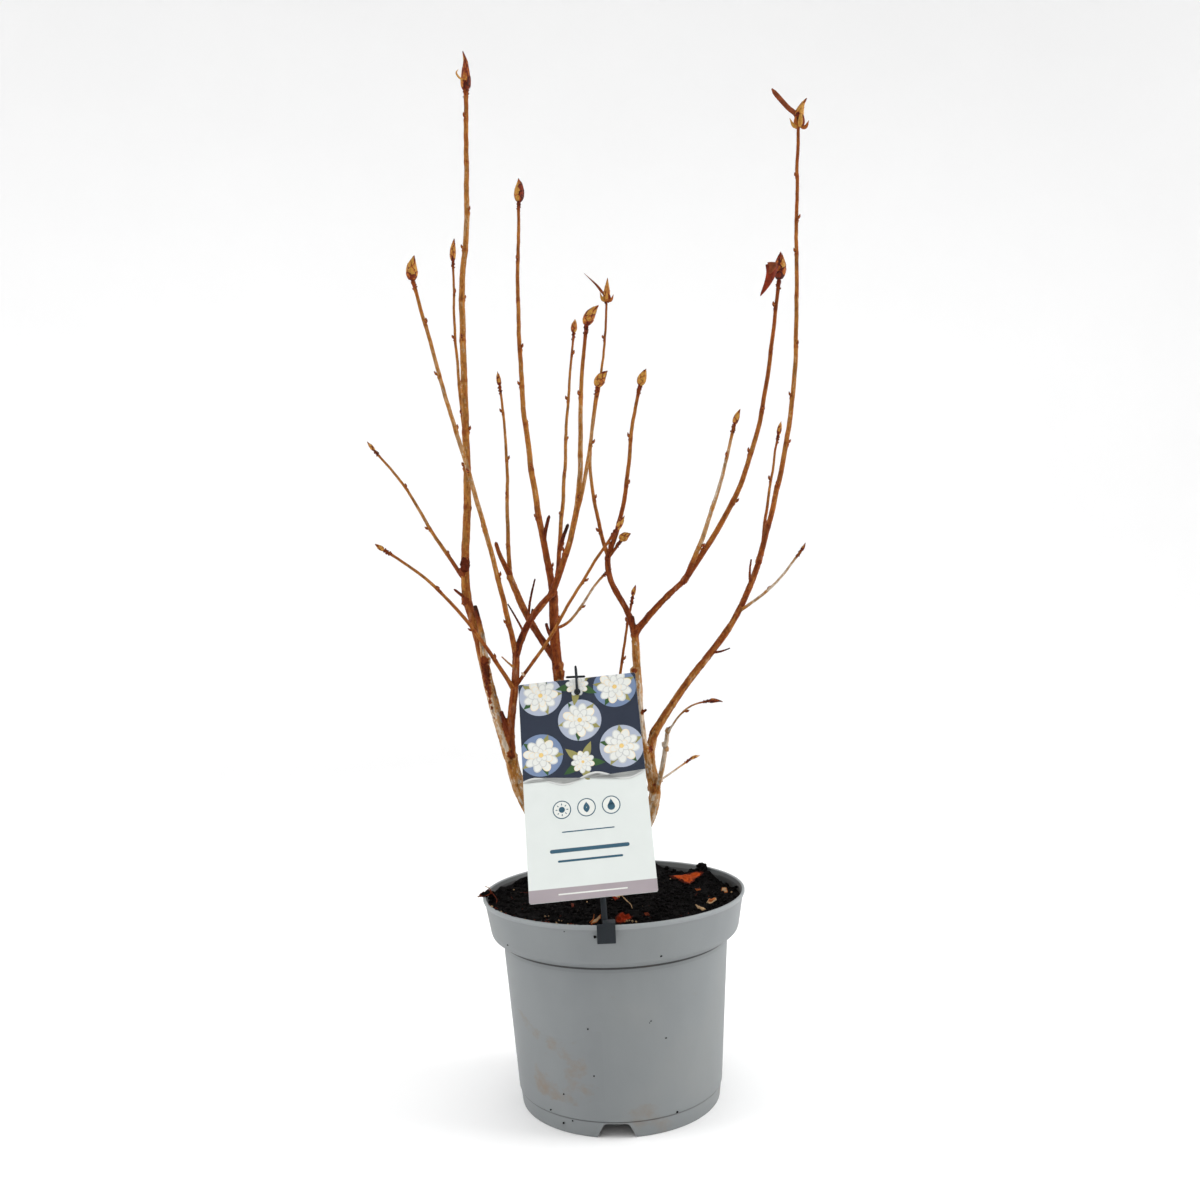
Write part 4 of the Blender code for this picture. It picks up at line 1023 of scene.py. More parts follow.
def pot_profile():
    """The pot's section: hollow foot, outer wall, turned-out lip and inner wall, with soft corners."""
    collar_low = POT_HEIGHT - COLLAR_DEPTH
    lip_low = POT_HEIGHT - LIP_HEIGHT
    floor = FLOOR_RAISED + POT_WALL
    dish = DISH_RADIUS - POT_EDGE
    ring = FOOT_RADIUS - POT_WALL - POT_EDGE
    sections = [
        (0.0, 0.0, 0.0),
        (dish, 0.0, 1.0),
        (dish + DISH_SLOPE, FLOOR_RAISED, 1.0),
        (ring, FLOOR_RAISED, 0.8),
        (ring, 0.0, 0.5),
        (FOOT_RADIUS - 0.4, 0.0, 0.5),
        (FOOT_STEP_RADIUS, FOOT_HEIGHT - 0.5, 0.3),
        (FOOT_STEP_RADIUS - 0.5, FOOT_HEIGHT, 0.2),
        (BODY_FOOT_RADIUS, FOOT_HEIGHT + 0.6, 0.3),
        (BODY_TOP_RADIUS, collar_low + 0.6, 0.5),
        (BODY_TOP_RADIUS + 2.2, collar_low + 0.9, 0.7),
        (COLLAR_FOOT_RADIUS - 0.9, collar_low + COLLAR_CHAMFER - 1.9, 1.6),
        (COLLAR_FOOT_RADIUS + 0.1, collar_low + COLLAR_CHAMFER + 0.6, 1.4),
        (COLLAR_TOP_RADIUS, lip_low, 1.2),
        (RIM_RADIUS, lip_low + LIP_SLOPE + 0.4, 0.9),
        (RIM_RADIUS, POT_HEIGHT, 0.8),
        (RIM_RADIUS - POT_WALL, POT_HEIGHT, 0.7),
        (COLLAR_TOP_RADIUS - POT_WALL, lip_low, 1.5),
        (COLLAR_FOOT_RADIUS - POT_WALL, collar_low + COLLAR_CHAMFER, 1.5),
        (BODY_TOP_RADIUS - POT_WALL, collar_low + POT_WALL, 1.5),
        (BODY_FOOT_RADIUS - POT_WALL, floor + FLOOR_FILLET, 1.5),
        (FOOT_RADIUS - FLOOR_FILLET - POT_WALL, floor, 1.0),
        (DISH_RADIUS + DISH_SLOPE, floor, 1.0),
        (DISH_RADIUS, POT_WALL, 1.0),
        (0.0, POT_WALL, 0.0),
    ]
    points = [(radius, height) for radius, height, _ in sections]
    corners = {index: corner for index, (_, _, corner) in enumerate(sections)}
    return divided(filleted(points, corners), 1.2)


def divided(profile, step):
    """A profile with its long stretches cut into steps, save those that end on the axis."""
    made = [profile[0]]
    for before, after in zip(profile, profile[1:]):
        off_axis = before[0] > 0.0 and after[0] > 0.0
        count = max(1, round(math.dist(before, after) / step)) if off_axis else 1
        for index in range(1, count + 1):
            share = index / count
            made.append(tuple(start + (end - start) * share for start, end in zip(before, after)))
    return made


def wall_inside(height):
    """The radius of the collar's inner face at a height."""
    low = POT_HEIGHT - COLLAR_DEPTH + COLLAR_CHAMFER
    heights = [low, POT_HEIGHT - LIP_HEIGHT, POT_HEIGHT]
    radii = [COLLAR_FOOT_RADIUS, COLLAR_TOP_RADIUS, RIM_RADIUS]
    return float(np.interp(height, heights, radii)) - POT_WALL


def wall_outside(height):
    """The radius of the pot's outer face at a height."""
    low = POT_HEIGHT - COLLAR_DEPTH
    heights = [0.0, FOOT_HEIGHT, FOOT_HEIGHT + 0.6, low - POT_EDGE, low, low + COLLAR_CHAMFER,
               POT_HEIGHT - LIP_HEIGHT, POT_HEIGHT]
    radii = [FOOT_RADIUS, FOOT_STEP_RADIUS, BODY_FOOT_RADIUS, BODY_TOP_RADIUS, BODY_TOP_RADIUS + 2.0,
             COLLAR_FOOT_RADIUS, COLLAR_TOP_RADIUS, RIM_RADIUS]
    return float(np.interp(height, heights, radii))


def cut(target, tools):
    """Cuts one object by several, in one step, and removes the tools."""
    group = bpy.data.collections.new("cutters")
    bpy.context.scene.collection.children.link(group)
    for tool in tools:
        group.objects.link(tool)
    step = target.modifiers.new("cut", "BOOLEAN")
    step.operation = "DIFFERENCE"
    step.operand_type = "COLLECTION"
    step.collection = group
    step.solver = "EXACT"
    bake(target)
    for tool in tools:
        bpy.data.objects.remove(tool, do_unlink=True)
    bpy.data.collections.remove(group)


def bake(target):
    """Applies an object's modifiers to its mesh."""
    bpy.context.view_layer.update()
    evaluated = target.evaluated_get(bpy.context.evaluated_depsgraph_get())
    mesh = bpy.data.meshes.new_from_object(evaluated)
    target.modifiers.clear()
    target.data = mesh


def cutter(name, ends):
    """A prism for cutting, from the points round each of its two ends in millimetres."""
    count = len(ends[0])
    points = [tuple(value * MM for value in point) for end in ends for point in end]
    faces = [tuple(reversed(range(count))), tuple(range(count, 2 * count))]
    faces += [(side, after, after + count, side + count) for side, after in ring_pairs(count)]
    mesh = bpy.data.meshes.new(name)
    mesh.from_pydata(points, [], faces)
    shape = bmesh.new()
    shape.from_mesh(mesh)
    bmesh.ops.recalc_face_normals(shape, faces=shape.faces)
    shape.to_mesh(mesh)
    shape.free()
    return bpy.data.objects.new(name, mesh)


def notch_outline():
    """The notch's outline, with round upper corners."""
    half_foot = NOTCH_FOOT_WIDTH / 2
    half_top = NOTCH_TOP_WIDTH / 2
    lean = (half_foot - half_top) / NOTCH_HEIGHT
    outline = [(-half_foot - lean * 2, -2.0), (half_foot + lean * 2, -2.0)]
    corner = Vector((half_top, NOTCH_HEIGHT))
    below = corner + Vector((lean, -1.0)).normalized() * NOTCH_CORNER
    beside = corner + Vector((-NOTCH_CORNER, 0))
    for step in range(6):
        t = step / 5
        point = below * (1 - t) ** 2 + corner * 2 * t * (1 - t) + beside * t * t
        outline.append((point.x, point.y))
    outline += [(-x, y) for x, y in reversed(outline[2:])]
    return outline


def notch_ends(angle):
    """A notch's outline, set across a radius of the pot inside and outside its wall."""
    near = FOOT_RADIUS - NOTCH_DEPTH
    cosine = math.cos(angle)
    sine = math.sin(angle)
    return [[(radius * cosine - across * sine, radius * sine + across * cosine, height)
             for across, height in notch_outline()] for radius in (near, near + 2 * NOTCH_DEPTH)]


def drain_ends(angle):
    """The ends of a drain hole's cutter, under and over the raised floor."""
    place = Vector((DRAIN_RING_RADIUS * math.cos(angle), DRAIN_RING_RADIUS * math.sin(angle)))
    return [[(x + place.x, y + place.y, z) for x, y, z in ring(DRAIN_RADIUS, height, DRAIN_SIDES)]
            for height in (FLOOR_RAISED - 3, FLOOR_RAISED + 5)]


def pot_finish(name, factor, stain):
    """Grey recycled plastic: faint flow marks, a chalky bloom and brown smudges, made lighter or darker by a
    factor that paints the lip's highlight and the shade on some faces.
    """
    made = Finish(name, 0.5, 0.35)
    cloud = made.noise(12.0, 3.0, 0.5, (1.0, 1.0, 0.8))
    tones = [(0.3, srgb(119, 123, 125)), (0.55, srgb(125, 129, 130)), (0.8, srgb(132, 134, 133))]
    base = made.ramp(cloud, [(place, shade(colour, factor)) for place, colour in tones])
    flow_marks = made.noise(40.0, 4.0, 0.6, (1.0, 1.0, 0.4))
    streaks = made.ramp(flow_marks, [(0.35, (0.93, 0.93, 0.93, 1.0)), (0.65, (1.05, 1.05, 1.05, 1.0))])
    base = made.mix(0.3, base, streaks, "MULTIPLY")
    smudge = made.noise(38.0, 5.0, 0.62, (1.0, 1.0, 1.3))
    where = made.span(smudge, 0.66 - 0.16 * stain, 0.86 - 0.16 * stain, 0.0, 0.3 + 0.45 * stain)
    made.colour(made.mix(where, base, shade(srgb(126, 106, 86), factor)))
    made.rough(cloud, 0.44, 0.6)
    made.bump(made.noise(700.0, 4.0, 0.6), 0.05, 0.5)
    return made.material


def pot_face_finish(place):
    """Which finish a place on the pot takes, by how high and on which side of the wall it lies."""
    radius = math.hypot(place.x, place.y)
    turn = math.degrees(math.atan2(place.y, place.x))
    angle = math.radians(turn)
    under = POT_HEIGHT - COLLAR_DEPTH - place.z
    ragged = noise.noise(Vector((math.cos(angle) * 3.0, math.sin(angle) * 3.0, 2.0)))
    # the inner wall takes darker finishes: painted shade inside the pot
    if radius < wall_outside(place.z) - 0.7:
        return inner_finish(place.z, ragged)
    # the lip's outer band and top are drawn lighter: a painted highlight
    if place.z > POT_HEIGHT - LIP_HEIGHT + 0.8:
        return LIP_HIGHLIGHT
    # a thin darker band in the crease under the collar and along the foot's step: painted shade, with some
    # brown grime
    if -0.4 < under < 1.0 or abs(place.z - FOOT_HEIGHT) < 0.6:
        return CREASE_SHADE_AND_GRIME
    # a band just below the collar is a little darker: a painted soft shadow under its overhang
    if 1.0 <= under < 3.4 + ragged:
        return SHADED
    if -158.0 < turn < -98.0 and 22.0 + 8.0 * ragged < place.z < 68.0 + 14.0 * ragged:
        return STAINED
    if place.z < 22.0 + 9.0 * ragged:
        return FOOT
    return PLASTIC


def inner_finish(height, ragged):
    """The finish of the inner wall: darker as painted shade inside the pot, darkest and also smeared with
    compost low down, cleaner towards the lip.
    """
    # the inner wall's top edge takes the lip's painted highlight
    if height > POT_HEIGHT - 0.9:
        return LIP_HIGHLIGHT
    # below the lip the wall is darkened as painted shade, and lowest down it is also smeared with compost
    return INSIDE_SHADE_AND_GRIME if height > POT_HEIGHT - 3.6 + 2.2 * ragged else SMEARED_AND_SHADED


def make_pot():
    """The pot as a fine turned shell with notches and drain holes."""
    shape = Shape()
    turned(shape, pot_profile(), POT_SEGMENTS, PLASTIC)
    pot = piece("nursery_pot", shape, [pot_finish(*row) for row in POT_FINISHES], ("pot",))
    tools = [cutter("notch_%d" % index, notch_ends(NOTCH_START + math.tau * index / NOTCH_COUNT))
             for index in range(NOTCH_COUNT)]
    tools += [cutter("drain_%d" % index, drain_ends(DRAIN_START + math.tau * index / DRAIN_COUNT))
              for index in range(DRAIN_COUNT)]
    cut(pot, tools)
    for face in pot.data.polygons:
        face.material_index = pot_face_finish(face.center / MM)
    pot.data.shade_smooth()
    pot.data.set_sharp_from_angle(angle=math.radians(32.0))


def soil_finishes():
    """Compost, then the finishes of what lies on it, in the order of their numbers."""
    earth = Finish("compost", 0.95, 0.04)
    grain = earth.noise(420.0, 6.0, 0.7)
    tones = [(0.35, srgb(5, 5, 5)), (0.62, srgb(17, 15, 15)), (0.84, srgb(36, 25, 20))]
    earth.colour(earth.ramp(grain, tones))
    earth.bump(grain, 0.9, 0.8)
    return [earth.material] + plain_finishes(LITTER_FINISHES)


def soil_edge(x, y):
    """How high the compost lies against the wall on this side."""
    turns, heights = zip(*SOIL_EDGE)
    return float(np.interp(math.degrees(math.atan2(y, x)), turns, heights))


def soil_height(x, y):
    """The height of the compost at a point, lumpy, level round the stems."""
    edge = soil_edge(x, y)
    share = min(1.0, math.hypot(x, y) / (COLLAR_TOP_RADIUS - POT_WALL))
    height = SOIL_CROWN_HEIGHT + (edge - SOIL_CROWN_HEIGHT) * share ** 4
    big = noise.noise(Vector((x * 0.035, y * 0.035, 3.1)))
    mid = noise.noise(Vector((x * 0.12, y * 0.12, 8.7)))
    small = noise.noise(Vector((x * 0.42, y * 0.42, 1.9)))
    return height + (1.2 * big + 1.4 * mid) * (1.0 - 0.6 * share ** 6) + 0.8 * small


def make_soil():
    """The compost as one closed lumpy body, then what lies on it."""
    shape = Shape()
    points = [(0.0, 0.0, soil_height(0.0, 0.0))]
    for level in range(1, SOIL_RINGS + 1):
        for cosine, sine, _ in ring(1.0, 0.0, SOIL_SEGMENTS):
            edge = wall_inside(soil_edge(cosine, sine) + 0.6) - 0.3
            x = edge * level / SOIL_RINGS * cosine
            y = edge * level / SOIL_RINGS * sine
            points.append((x, y, soil_height(x, y)))
    wall = POT_WALL + SOIL_CLEARANCE
    collar_low = POT_HEIGHT - COLLAR_DEPTH
    sides = [(COLLAR_FOOT_RADIUS - wall, collar_low + COLLAR_CHAMFER),
             (BODY_TOP_RADIUS - wall, collar_low + wall),
             (BODY_FOOT_RADIUS - wall, FOOT_HEIGHT + wall + 5.0)]
    for radius, height in sides:
        points += ring(radius, height, SOIL_SEGMENTS)
    points.append((0.0, 0.0, sides[-1][1]))
    foot = len(points) - 1 - SOIL_SEGMENTS
    faces = []
    for segment, after in ring_pairs(SOIL_SEGMENTS):
        faces.append((0, 1 + segment, 1 + after))
        for level in range(SOIL_RINGS - 1 + len(sides)):
            low = 1 + level * SOIL_SEGMENTS
            high = low + SOIL_SEGMENTS
            faces.append((low + segment, high + segment, high + after, low + after))
        faces.append((len(points) - 1, foot + after, foot + segment))
    shape.add(points, faces, 0)
    finishes = soil_finishes()
    piece("compost_body", shape, finishes[:1], ("soil",), 80.0)
    make_litter(finishes)


def lump(shape, centre, size, chance, finish, flat=1.0):
    """A small angular lump."""
    points = []
    for corner in LUMP_POINTS:
        stretch = size * chance.uniform(0.65, 1.2)
        points.append([corner[0] * stretch, corner[1] * stretch, corner[2] * stretch * flat])
    lean = (chance.uniform(-0.5, 0.5), chance.uniform(-0.5, 0.5))
    turn = Euler((*lean, chance.uniform(0, math.tau))).to_matrix()
    turned_points = [tuple(turn @ Vector(point) + Vector(centre)) for point in points]
    shape.add(turned_points, LUMP_FACES, finish)


def lump_mesh():
    """The corners and faces of a ball of twenty triangles."""
    shape = bmesh.new()
    bmesh.ops.create_icosphere(shape, subdivisions=1, radius=1.0)
    points = [tuple(vert.co) for vert in shape.verts]
    faces = [tuple(vert.index for vert in face.verts) for face in shape.faces]
    shape.free()
    return points, faces


LUMP_POINTS, LUMP_FACES = lump_mesh()


def fibre(shape, points, radius, finish):
    """A thin root, stalk or straw along a few points."""
    path = smooth_path(points, 6 * len(points))
    radii = radius * np.interp(np.linspace(0, 1, len(path)), [0, 0.15, 0.8, 1.0], [0.5, 1.0, 0.8, 0.3])
    shape.add(*sweep(path, radii, FIBRE_SIDES), finish)


def flake(shape, outline, thickness, crumple, finish, rim_finish, seed):
    """A thin leaf or flake inside an outline of points, crumpled, with a rim of its own finish."""
    corners = [Vector(point) for point in outline]
    rim = []
    for corner, after in zip(corners, corners[1:] + corners[:1]):
        for step in range(3):
            place = corner.lerp(after, step / 3)
            ragged = noise.noise_vector((place + Vector((seed, 0, 0))) * 0.9)
            rim.append(place + ragged * (0.35 * crumple if step else 0.0))
    count = len(rim)
    centre = sum(rim, Vector()) / count
    slices = [(a - centre).cross(b - centre) for a, b in zip(rim, rim[1:] + rim[:1])]
    normal = sum(slices, Vector()).normalized()
    points = []
    for side in (0.5, -0.5):
        points.append(tuple(centre + normal * (thickness * side + crumple * 0.4)))
        for level in range(1, FLAKE_RINGS + 1):
            thin = thickness * side * (1.0 if level < FLAKE_RINGS else 0.5)
            for corner in rim:
                place = centre.lerp(corner, level / FLAKE_RINGS)
                wave = noise.noise((place + Vector((seed * 3.7, seed, 0))) * 0.45)
                fold = noise.noise((place + Vector((seed, 5.0, seed))) * 1.1)
                points.append(tuple(place + normal * (thin + crumple * (wave + 0.35 * fold))))
    edge_tone = finish if rim_finish is None else rim_finish
    total = 1 + FLAKE_RINGS * count
    faces = []
    for base, way in ((0, 1), (total, -1)):
        for index, after in ring_pairs(count):
            faces.append((base, base + 1 + index, base + 1 + after)[::way])
            for level in range(FLAKE_RINGS - 1):
                low = base + 1 + level * count
                faces.append((low + index, low + count + index, low + count + after, low + after)[::way])
    tones = ([finish] * (FLAKE_RINGS - 1) + [edge_tone]) * (2 * count) + [edge_tone] * count
    last = 1 + (FLAKE_RINGS - 1) * count
    faces += [(last + index, total + last + index, total + last + after, last + after)
              for index, after in ring_pairs(count)]
    shape.add(points, faces, tones)


def clod(shape, centre, size, count, chance, finish=0):
    """A heap of angular lumps that hang together."""
    for _ in range(count):
        offset = Vector((chance.uniform(-1, 1), chance.uniform(-1, 1), chance.uniform(-1, 1))) * size * 0.55
        lump(shape, tuple(Vector(centre) + offset), size * chance.uniform(0.3, 0.55), chance, finish)


def on_pot(turn, radius, height):
    """A place at an angle round the pot in degrees, from its axis and its underside."""
    angle = math.radians(turn)
    return (radius * math.cos(angle), radius * math.sin(angle), height)


def add_crumb(shape, chance):
    """One crumb anywhere on the compost, unless it would touch the wall."""
    radius = 92.0 * math.sqrt(chance.random())
    angle = chance.uniform(0, math.tau)
    x = radius * math.cos(angle)
    y = radius * math.sin(angle)
    size = chance.choice((0.5, 0.7, 0.9, 1.2, 1.7, 2.3))
    finish = 0 if size > 1.0 or chance.random() < 0.985 else chance.choice((1, 1, 2, 4))
    height = soil_height(x, y)
    if radius + size < wall_inside(height) - 0.4:
        lump(shape, (x, y, height + size * 0.2), size, chance, finish, 0.7)


def add_root_fibre(shape, chance):
    """One short fibre that lies anywhere on the compost."""
    radius = 84.0 * math.sqrt(chance.random())
    angle = chance.uniform(0, math.tau)
    turn = chance.uniform(0, math.tau)
    length = chance.uniform(4.0, 13.0)
    points = []
    for step in (-1, 0, 1):
        x = radius * math.cos(angle) + math.cos(turn) * length * step / 2 + chance.uniform(-0.8, 0.8)
        y = radius * math.sin(angle) + math.sin(turn) * length * step / 2 + chance.uniform(-0.8, 0.8)
        points.append((x, y, soil_height(x, y) + chance.uniform(0.1, 1.0)))
    fibre(shape, points, chance.uniform(0.12, 0.28), chance.choice((0, 0, 0, 4)))


def make_litter(finishes):
    """Crumbs and fibres all over the compost, and the leaves, chips and clods that stand out."""
    chance = random.Random(5)
    shape = Shape()
    for _ in range(CRUMB_COUNT):
        add_crumb(shape, chance)
    for _ in range(FIBRE_COUNT):
        add_root_fibre(shape, chance)
    for index, (outline, thickness, crumple, finish, rim_finish) in enumerate(FALLEN):
        flake(shape, outline, thickness, crumple, finish, rim_finish, index + 1)
    for points, radius, finish in STALKS:
        fibre(shape, points, radius, finish)
    for centre, size, count in CLODS:
        clod(shape, centre, size, count, chance)
    for x, y, z, size, finish in GRAINS:
        lump(shape, (x, y, z), size, chance, finish)
    for turn, height, grain in SPECKS:
        lump(shape, on_pot(turn, wall_outside(height) + 0.1, height), SPECK_SIZE * grain, chance, 0, 0.8)
    for _ in range(RIM_GRAIN_COUNT):
        turn = chance.uniform(-170.0, -95.0)
        radius = RIM_RADIUS - POT_WALL + chance.uniform(-0.9, 0.9)
        size = chance.uniform(0.35, 0.9)
        place = on_pot(turn, radius, POT_HEIGHT + size * 0.2)
        lump(shape, place, size, chance, chance.choice((0, 0, 0, 2, 4)))
    piece("compost_crumbs", shape, finishes, (), 30.0)


# Leaves and flakes on the compost: outline, thickness, crumple, finish and rim finish
FALLEN = [
    ([(43.9, 44, 145.2), (52.6, 46, 145.0), (60.5, 44, 146.8), (67.7, 42, 148.4), (71.4, 42, 147.4),
      (67.6, 36, 146.2), (62.3, 28, 145.0), (58.3, 20, 143.8), (55.2, 22, 144.4), (51.5, 32, 144.6)],
     0.4, 1.7, 3, 7),
    ([(-0.3, -86, 147.9), (0.3, -84, 149.9), (2.6, -80, 151.1), (5.0, -78, 151.4), (7.7, -79, 150.2),
      (12.2, -76, 147.9), (11.6, -78, 146.8), (7.9, -82, 147.2), (5.9, -85, 146.5), (2.0, -87, 146.4)],
     0.4, 1.9, 6, 7),
    ([(-16.2, -90, 147.4), (-15.2, -88, 148.8), (-10.9, -84, 150.9), (-9.2, -83, 151.7), (-9.5, -85, 150.1),
      (-12.2, -89, 148.1)], 0.4, 0.7, 2, 5),
    ([(79.6, -3, 142.6), (80.8, 4, 144.4), (84.5, 4, 144.2), (84.0, -4, 142.8)], 0.9, 1.0, 2, 5),
    ([(65.4, -36, 144.6), (67.6, -30, 145.3), (72.9, -28, 145.2), (73.1, -31, 144.8), (67.7, -38, 144.2)],
     1.1, 0.8, 5, 2),
    ([(56.7, -45, 145.4), (59.3, -47, 145.2), (62.8, -57, 145.8), (60.2, -58, 145.5), (57.8, -52, 144.9)],
     0.8, 0.8, 2, None),
    ([(61.0, 5.6, 144.2), (64.4, 5.2, 144.4), (65.0, 2.0, 144.0), (61.6, 1.6, 143.8)], 0.8, 0.6, 1, 5),
    ([(-31.2, -24, 144.6), (-29.0, -26, 144.8), (-28.6, -35, 144.8), (-30.4, -33, 144.4)], 0.6, 0.8, 4, None),
    ([(-1.6, -14, 145.0), (1.4, -14, 145.4), (3.6, -18, 145.0), (0.6, -21, 144.6)], 0.6, 1.0, 6, 7),
    ([(-99.0, -14, 149.3), (-97.9, -12, 151.0), (-95.1, -8, 151.1), (-93.1, -3, 151.8), (-91.3, -5, 151.0),
      (-89.6, -7, 149.6), (-93.4, -10, 148.3), (-96.6, -14, 149.1)], 1.2, 1.2, 0, 1),
    ([(20, -60, 145.4), (23, -62, 145.8), (24, -66, 145.2), (21, -65, 144.8)], 0.6, 0.6, 1, None),
]

# Stalks and root fibres: points, radius and finish
STALKS = [
    ([(6.0, -18, 146.7), (8.8, -30, 146.6), (11.6, -40, 146.2), (12.4, -48, 145.4)], 0.38, 2),
    ([(-96.2, 2, 152.9), (-93.0, 2, 151.5), (-91.0, 1, 150.2)], 0.3, 2),
    ([(-93.0, 2, 151.3), (-89.6, -6, 149.6), (-85.2, -18, 148.0), (-85.1, -24, 146.4)], 0.36, 1),
    ([(-17, -83, 146.6), (-14.5, -80, 148.0), (-13.8, -77, 150.6)], 0.3, 5),
]

# Clods: centre, size and number of lumps
CLODS = [
    ((70.5, 57.0, 146.6), 5.4, 26),
    ((73.0, 56.5, 149.6), 2.4, 10),
    ((68.5, 57.5, 148.6), 1.8, 6),
    ((-95.0, -8.0, 148.8), 2.6, 12),
    ((-91.0, -2.0, 147.2), 3.4, 12),
    ((86.0, 20.0, 142.4), 2.6, 10),
    ((91.0, 6.0, 143.4), 2.4, 8),
    ((44.0, 79.0, 143.0), 2.6, 8),
    ((50.0, 74.0, 142.0), 2.2, 8),
]

# Single pale or rusty grains: place, size and finish
GRAINS = [
    (-19.6, -23.1, 144.9, 0.7, 2), (-47.9, -59.5, 145.6, 0.8, 2), (-45.4, -58.8, 145.4, 0.5, 2),
    (-37.9, -71.8, 145.9, 0.8, 2), (-76.0, 19.9, 145.0, 0.7, 2), (7.9, -84.1, 147.2, 0.9, 2),
    (9.6, -85.0, 147.6, 0.7, 2), (11.4, -86.2, 147.4, 0.9, 2), (13.8, -87.2, 147.3, 0.8, 2),
    (6.4, -85.5, 147.0, 0.7, 5), (44.4, 36.0, 144.8, 0.7, 2), (-99.0, -14.2, 149.4, 0.7, 2),
    (86.5, -9.0, 144.4, 0.7, 2), (-36.0, -72.5, 145.6, 0.5, 2), (-39.5, -71.0, 145.6, 0.5, 2),
]


# ---------------------------------------------------------------- label

def label_matrix():
    """From the card's own axes, in millimetres, to the part's."""
    turn = Euler((math.radians(-CARD_LEAN), math.radians(CARD_SPIN), math.radians(CARD_YAW)), "YXZ")
    return Matrix.Translation(Vector(CARD_FOOT)) @ turn.to_matrix().to_4x4()


def turned_outline(outline, x, z, turn):
    """An outline turned about its origin and moved to a place on the card."""
    cosine = math.cos(turn)
    sine = math.sin(turn)
    return [(x + along * cosine - across * sine, z + along * sine + across * cosine)
            for along, across in outline]


class Print:
    """Flat ink shapes on the card's front, each a very thin solid above the last."""

    def __init__(self):
        self.shape = Shape()
        self.matrix = label_matrix()

    def area(self, outline, finish, layer):
        """One filled outline in the card's x and z, kept on the card; a higher layer covers a lower one."""
        reach = CARD_WIDTH / 2 - CARD_MARGIN
        in_picture = layer > 1 and finish in PICTURE_INKS and outline[0][1] > PICTURE_FOOT
        low = picture_edge(0.0) - 3.0 if in_picture else 0.0
        top = CARD_LENGTH - CARD_MARGIN
        outline = [(min(reach, max(-reach, x)), min(top, max(low, z))) for x, z in outline]
        count = len(outline)
        front = -INK_STEP * layer
        points = [self.matrix @ Vector((x, front, z)) for x, z in outline]
        points += [self.matrix @ Vector((x, -INK_STEP * 0.5, z)) for x, z in outline]
        centre_x = sum(x for x, _ in outline) / count
        centre_z = sum(z for _, z in outline) / count
        points.append(self.matrix @ Vector((centre_x, front, centre_z)))
        faces = []
        for side, after in ring_pairs(count):
            faces.append((2 * count, side, after))
            faces.append((side, side + count, after + count, after))
        faces.append(tuple(range(2 * count - 1, count - 1, -1)))
        self.shape.add([tuple(point) for point in points], faces, finish)

    def disc(self, x, z, radius, finish, layer, sides=28):
        """A round spot."""
        self.area([(x + across, z + up) for across, up, _ in ring(radius, 0.0, sides)], finish, layer)

    def bar(self, x, z, length, height, finish, layer):
        """A rounded line."""
        outline = []
        for sign, start in ((1, -90), (-1, 90)):
            for step in range(7):
                angle = math.radians(start + 30 * step)
                outline.append((x + sign * (length - height) / 2 + height / 2 * math.cos(angle),
                                z + height / 2 * math.sin(angle)))
        self.area(outline, finish, layer)

    def leaf(self, x, z, length, width, turn, finish, layer):
        """A pointed leaf from its stalk end."""
        shares = [step / 9 for step in range(9)]
        outline = [(share * length, side * width / 2 * math.sin(math.pi * share ** 0.85))
                   for side, run in ((1, shares), (-1, [1 - share for share in shares])) for share in run]
        self.area(turned_outline(outline, x, z, turn), finish, layer)

    def rosette(self, x, z, radius, turn, layer):
        """A round many-petalled rosette: three rings of petals, each with a shaded edge."""
        for level, (petals, place, long, wide) in enumerate(PETAL_RINGS):
            for petal in range(petals):
                angle = turn + level * 0.4 + math.tau * petal / petals
                centre = (x + radius * place * math.cos(angle), z + radius * place * math.sin(angle))
                edge = INK_SHADE if (petal + level) % 3 else INK_CREAM
                over = layer + 2 * level
                self.oval(centre, radius * long, radius * wide, angle, edge, over)
                self.oval(centre, radius * long * 0.82, radius * wide * 0.74, angle, INK_WHITE, over + 1)
        self.disc(x, z, radius * 0.13, INK_YELLOW, layer + 6, 16)

    def oval(self, centre, long, wide, turn, finish, layer):
        """A petal about its centre."""
        angles = [math.tau * side / 20 for side in range(20)]
        outline = [(long * math.cos(angle), wide * math.sin(angle)) for angle in angles]
        self.area(turned_outline(outline, *centre, turn), finish, layer)


def ink_finishes():
    """The inks in the order of their numbers."""
    return [plain_finish(name, srgb(*colour), 0.4, 60.0, 0.03, 0.01, 0.25) for name, colour in INKS]


def picture_edge(x):
    """The height of the picture's wavy lower edge."""
    return 82.0 + 3.2 * math.sin(x * 0.147 + 0.4)


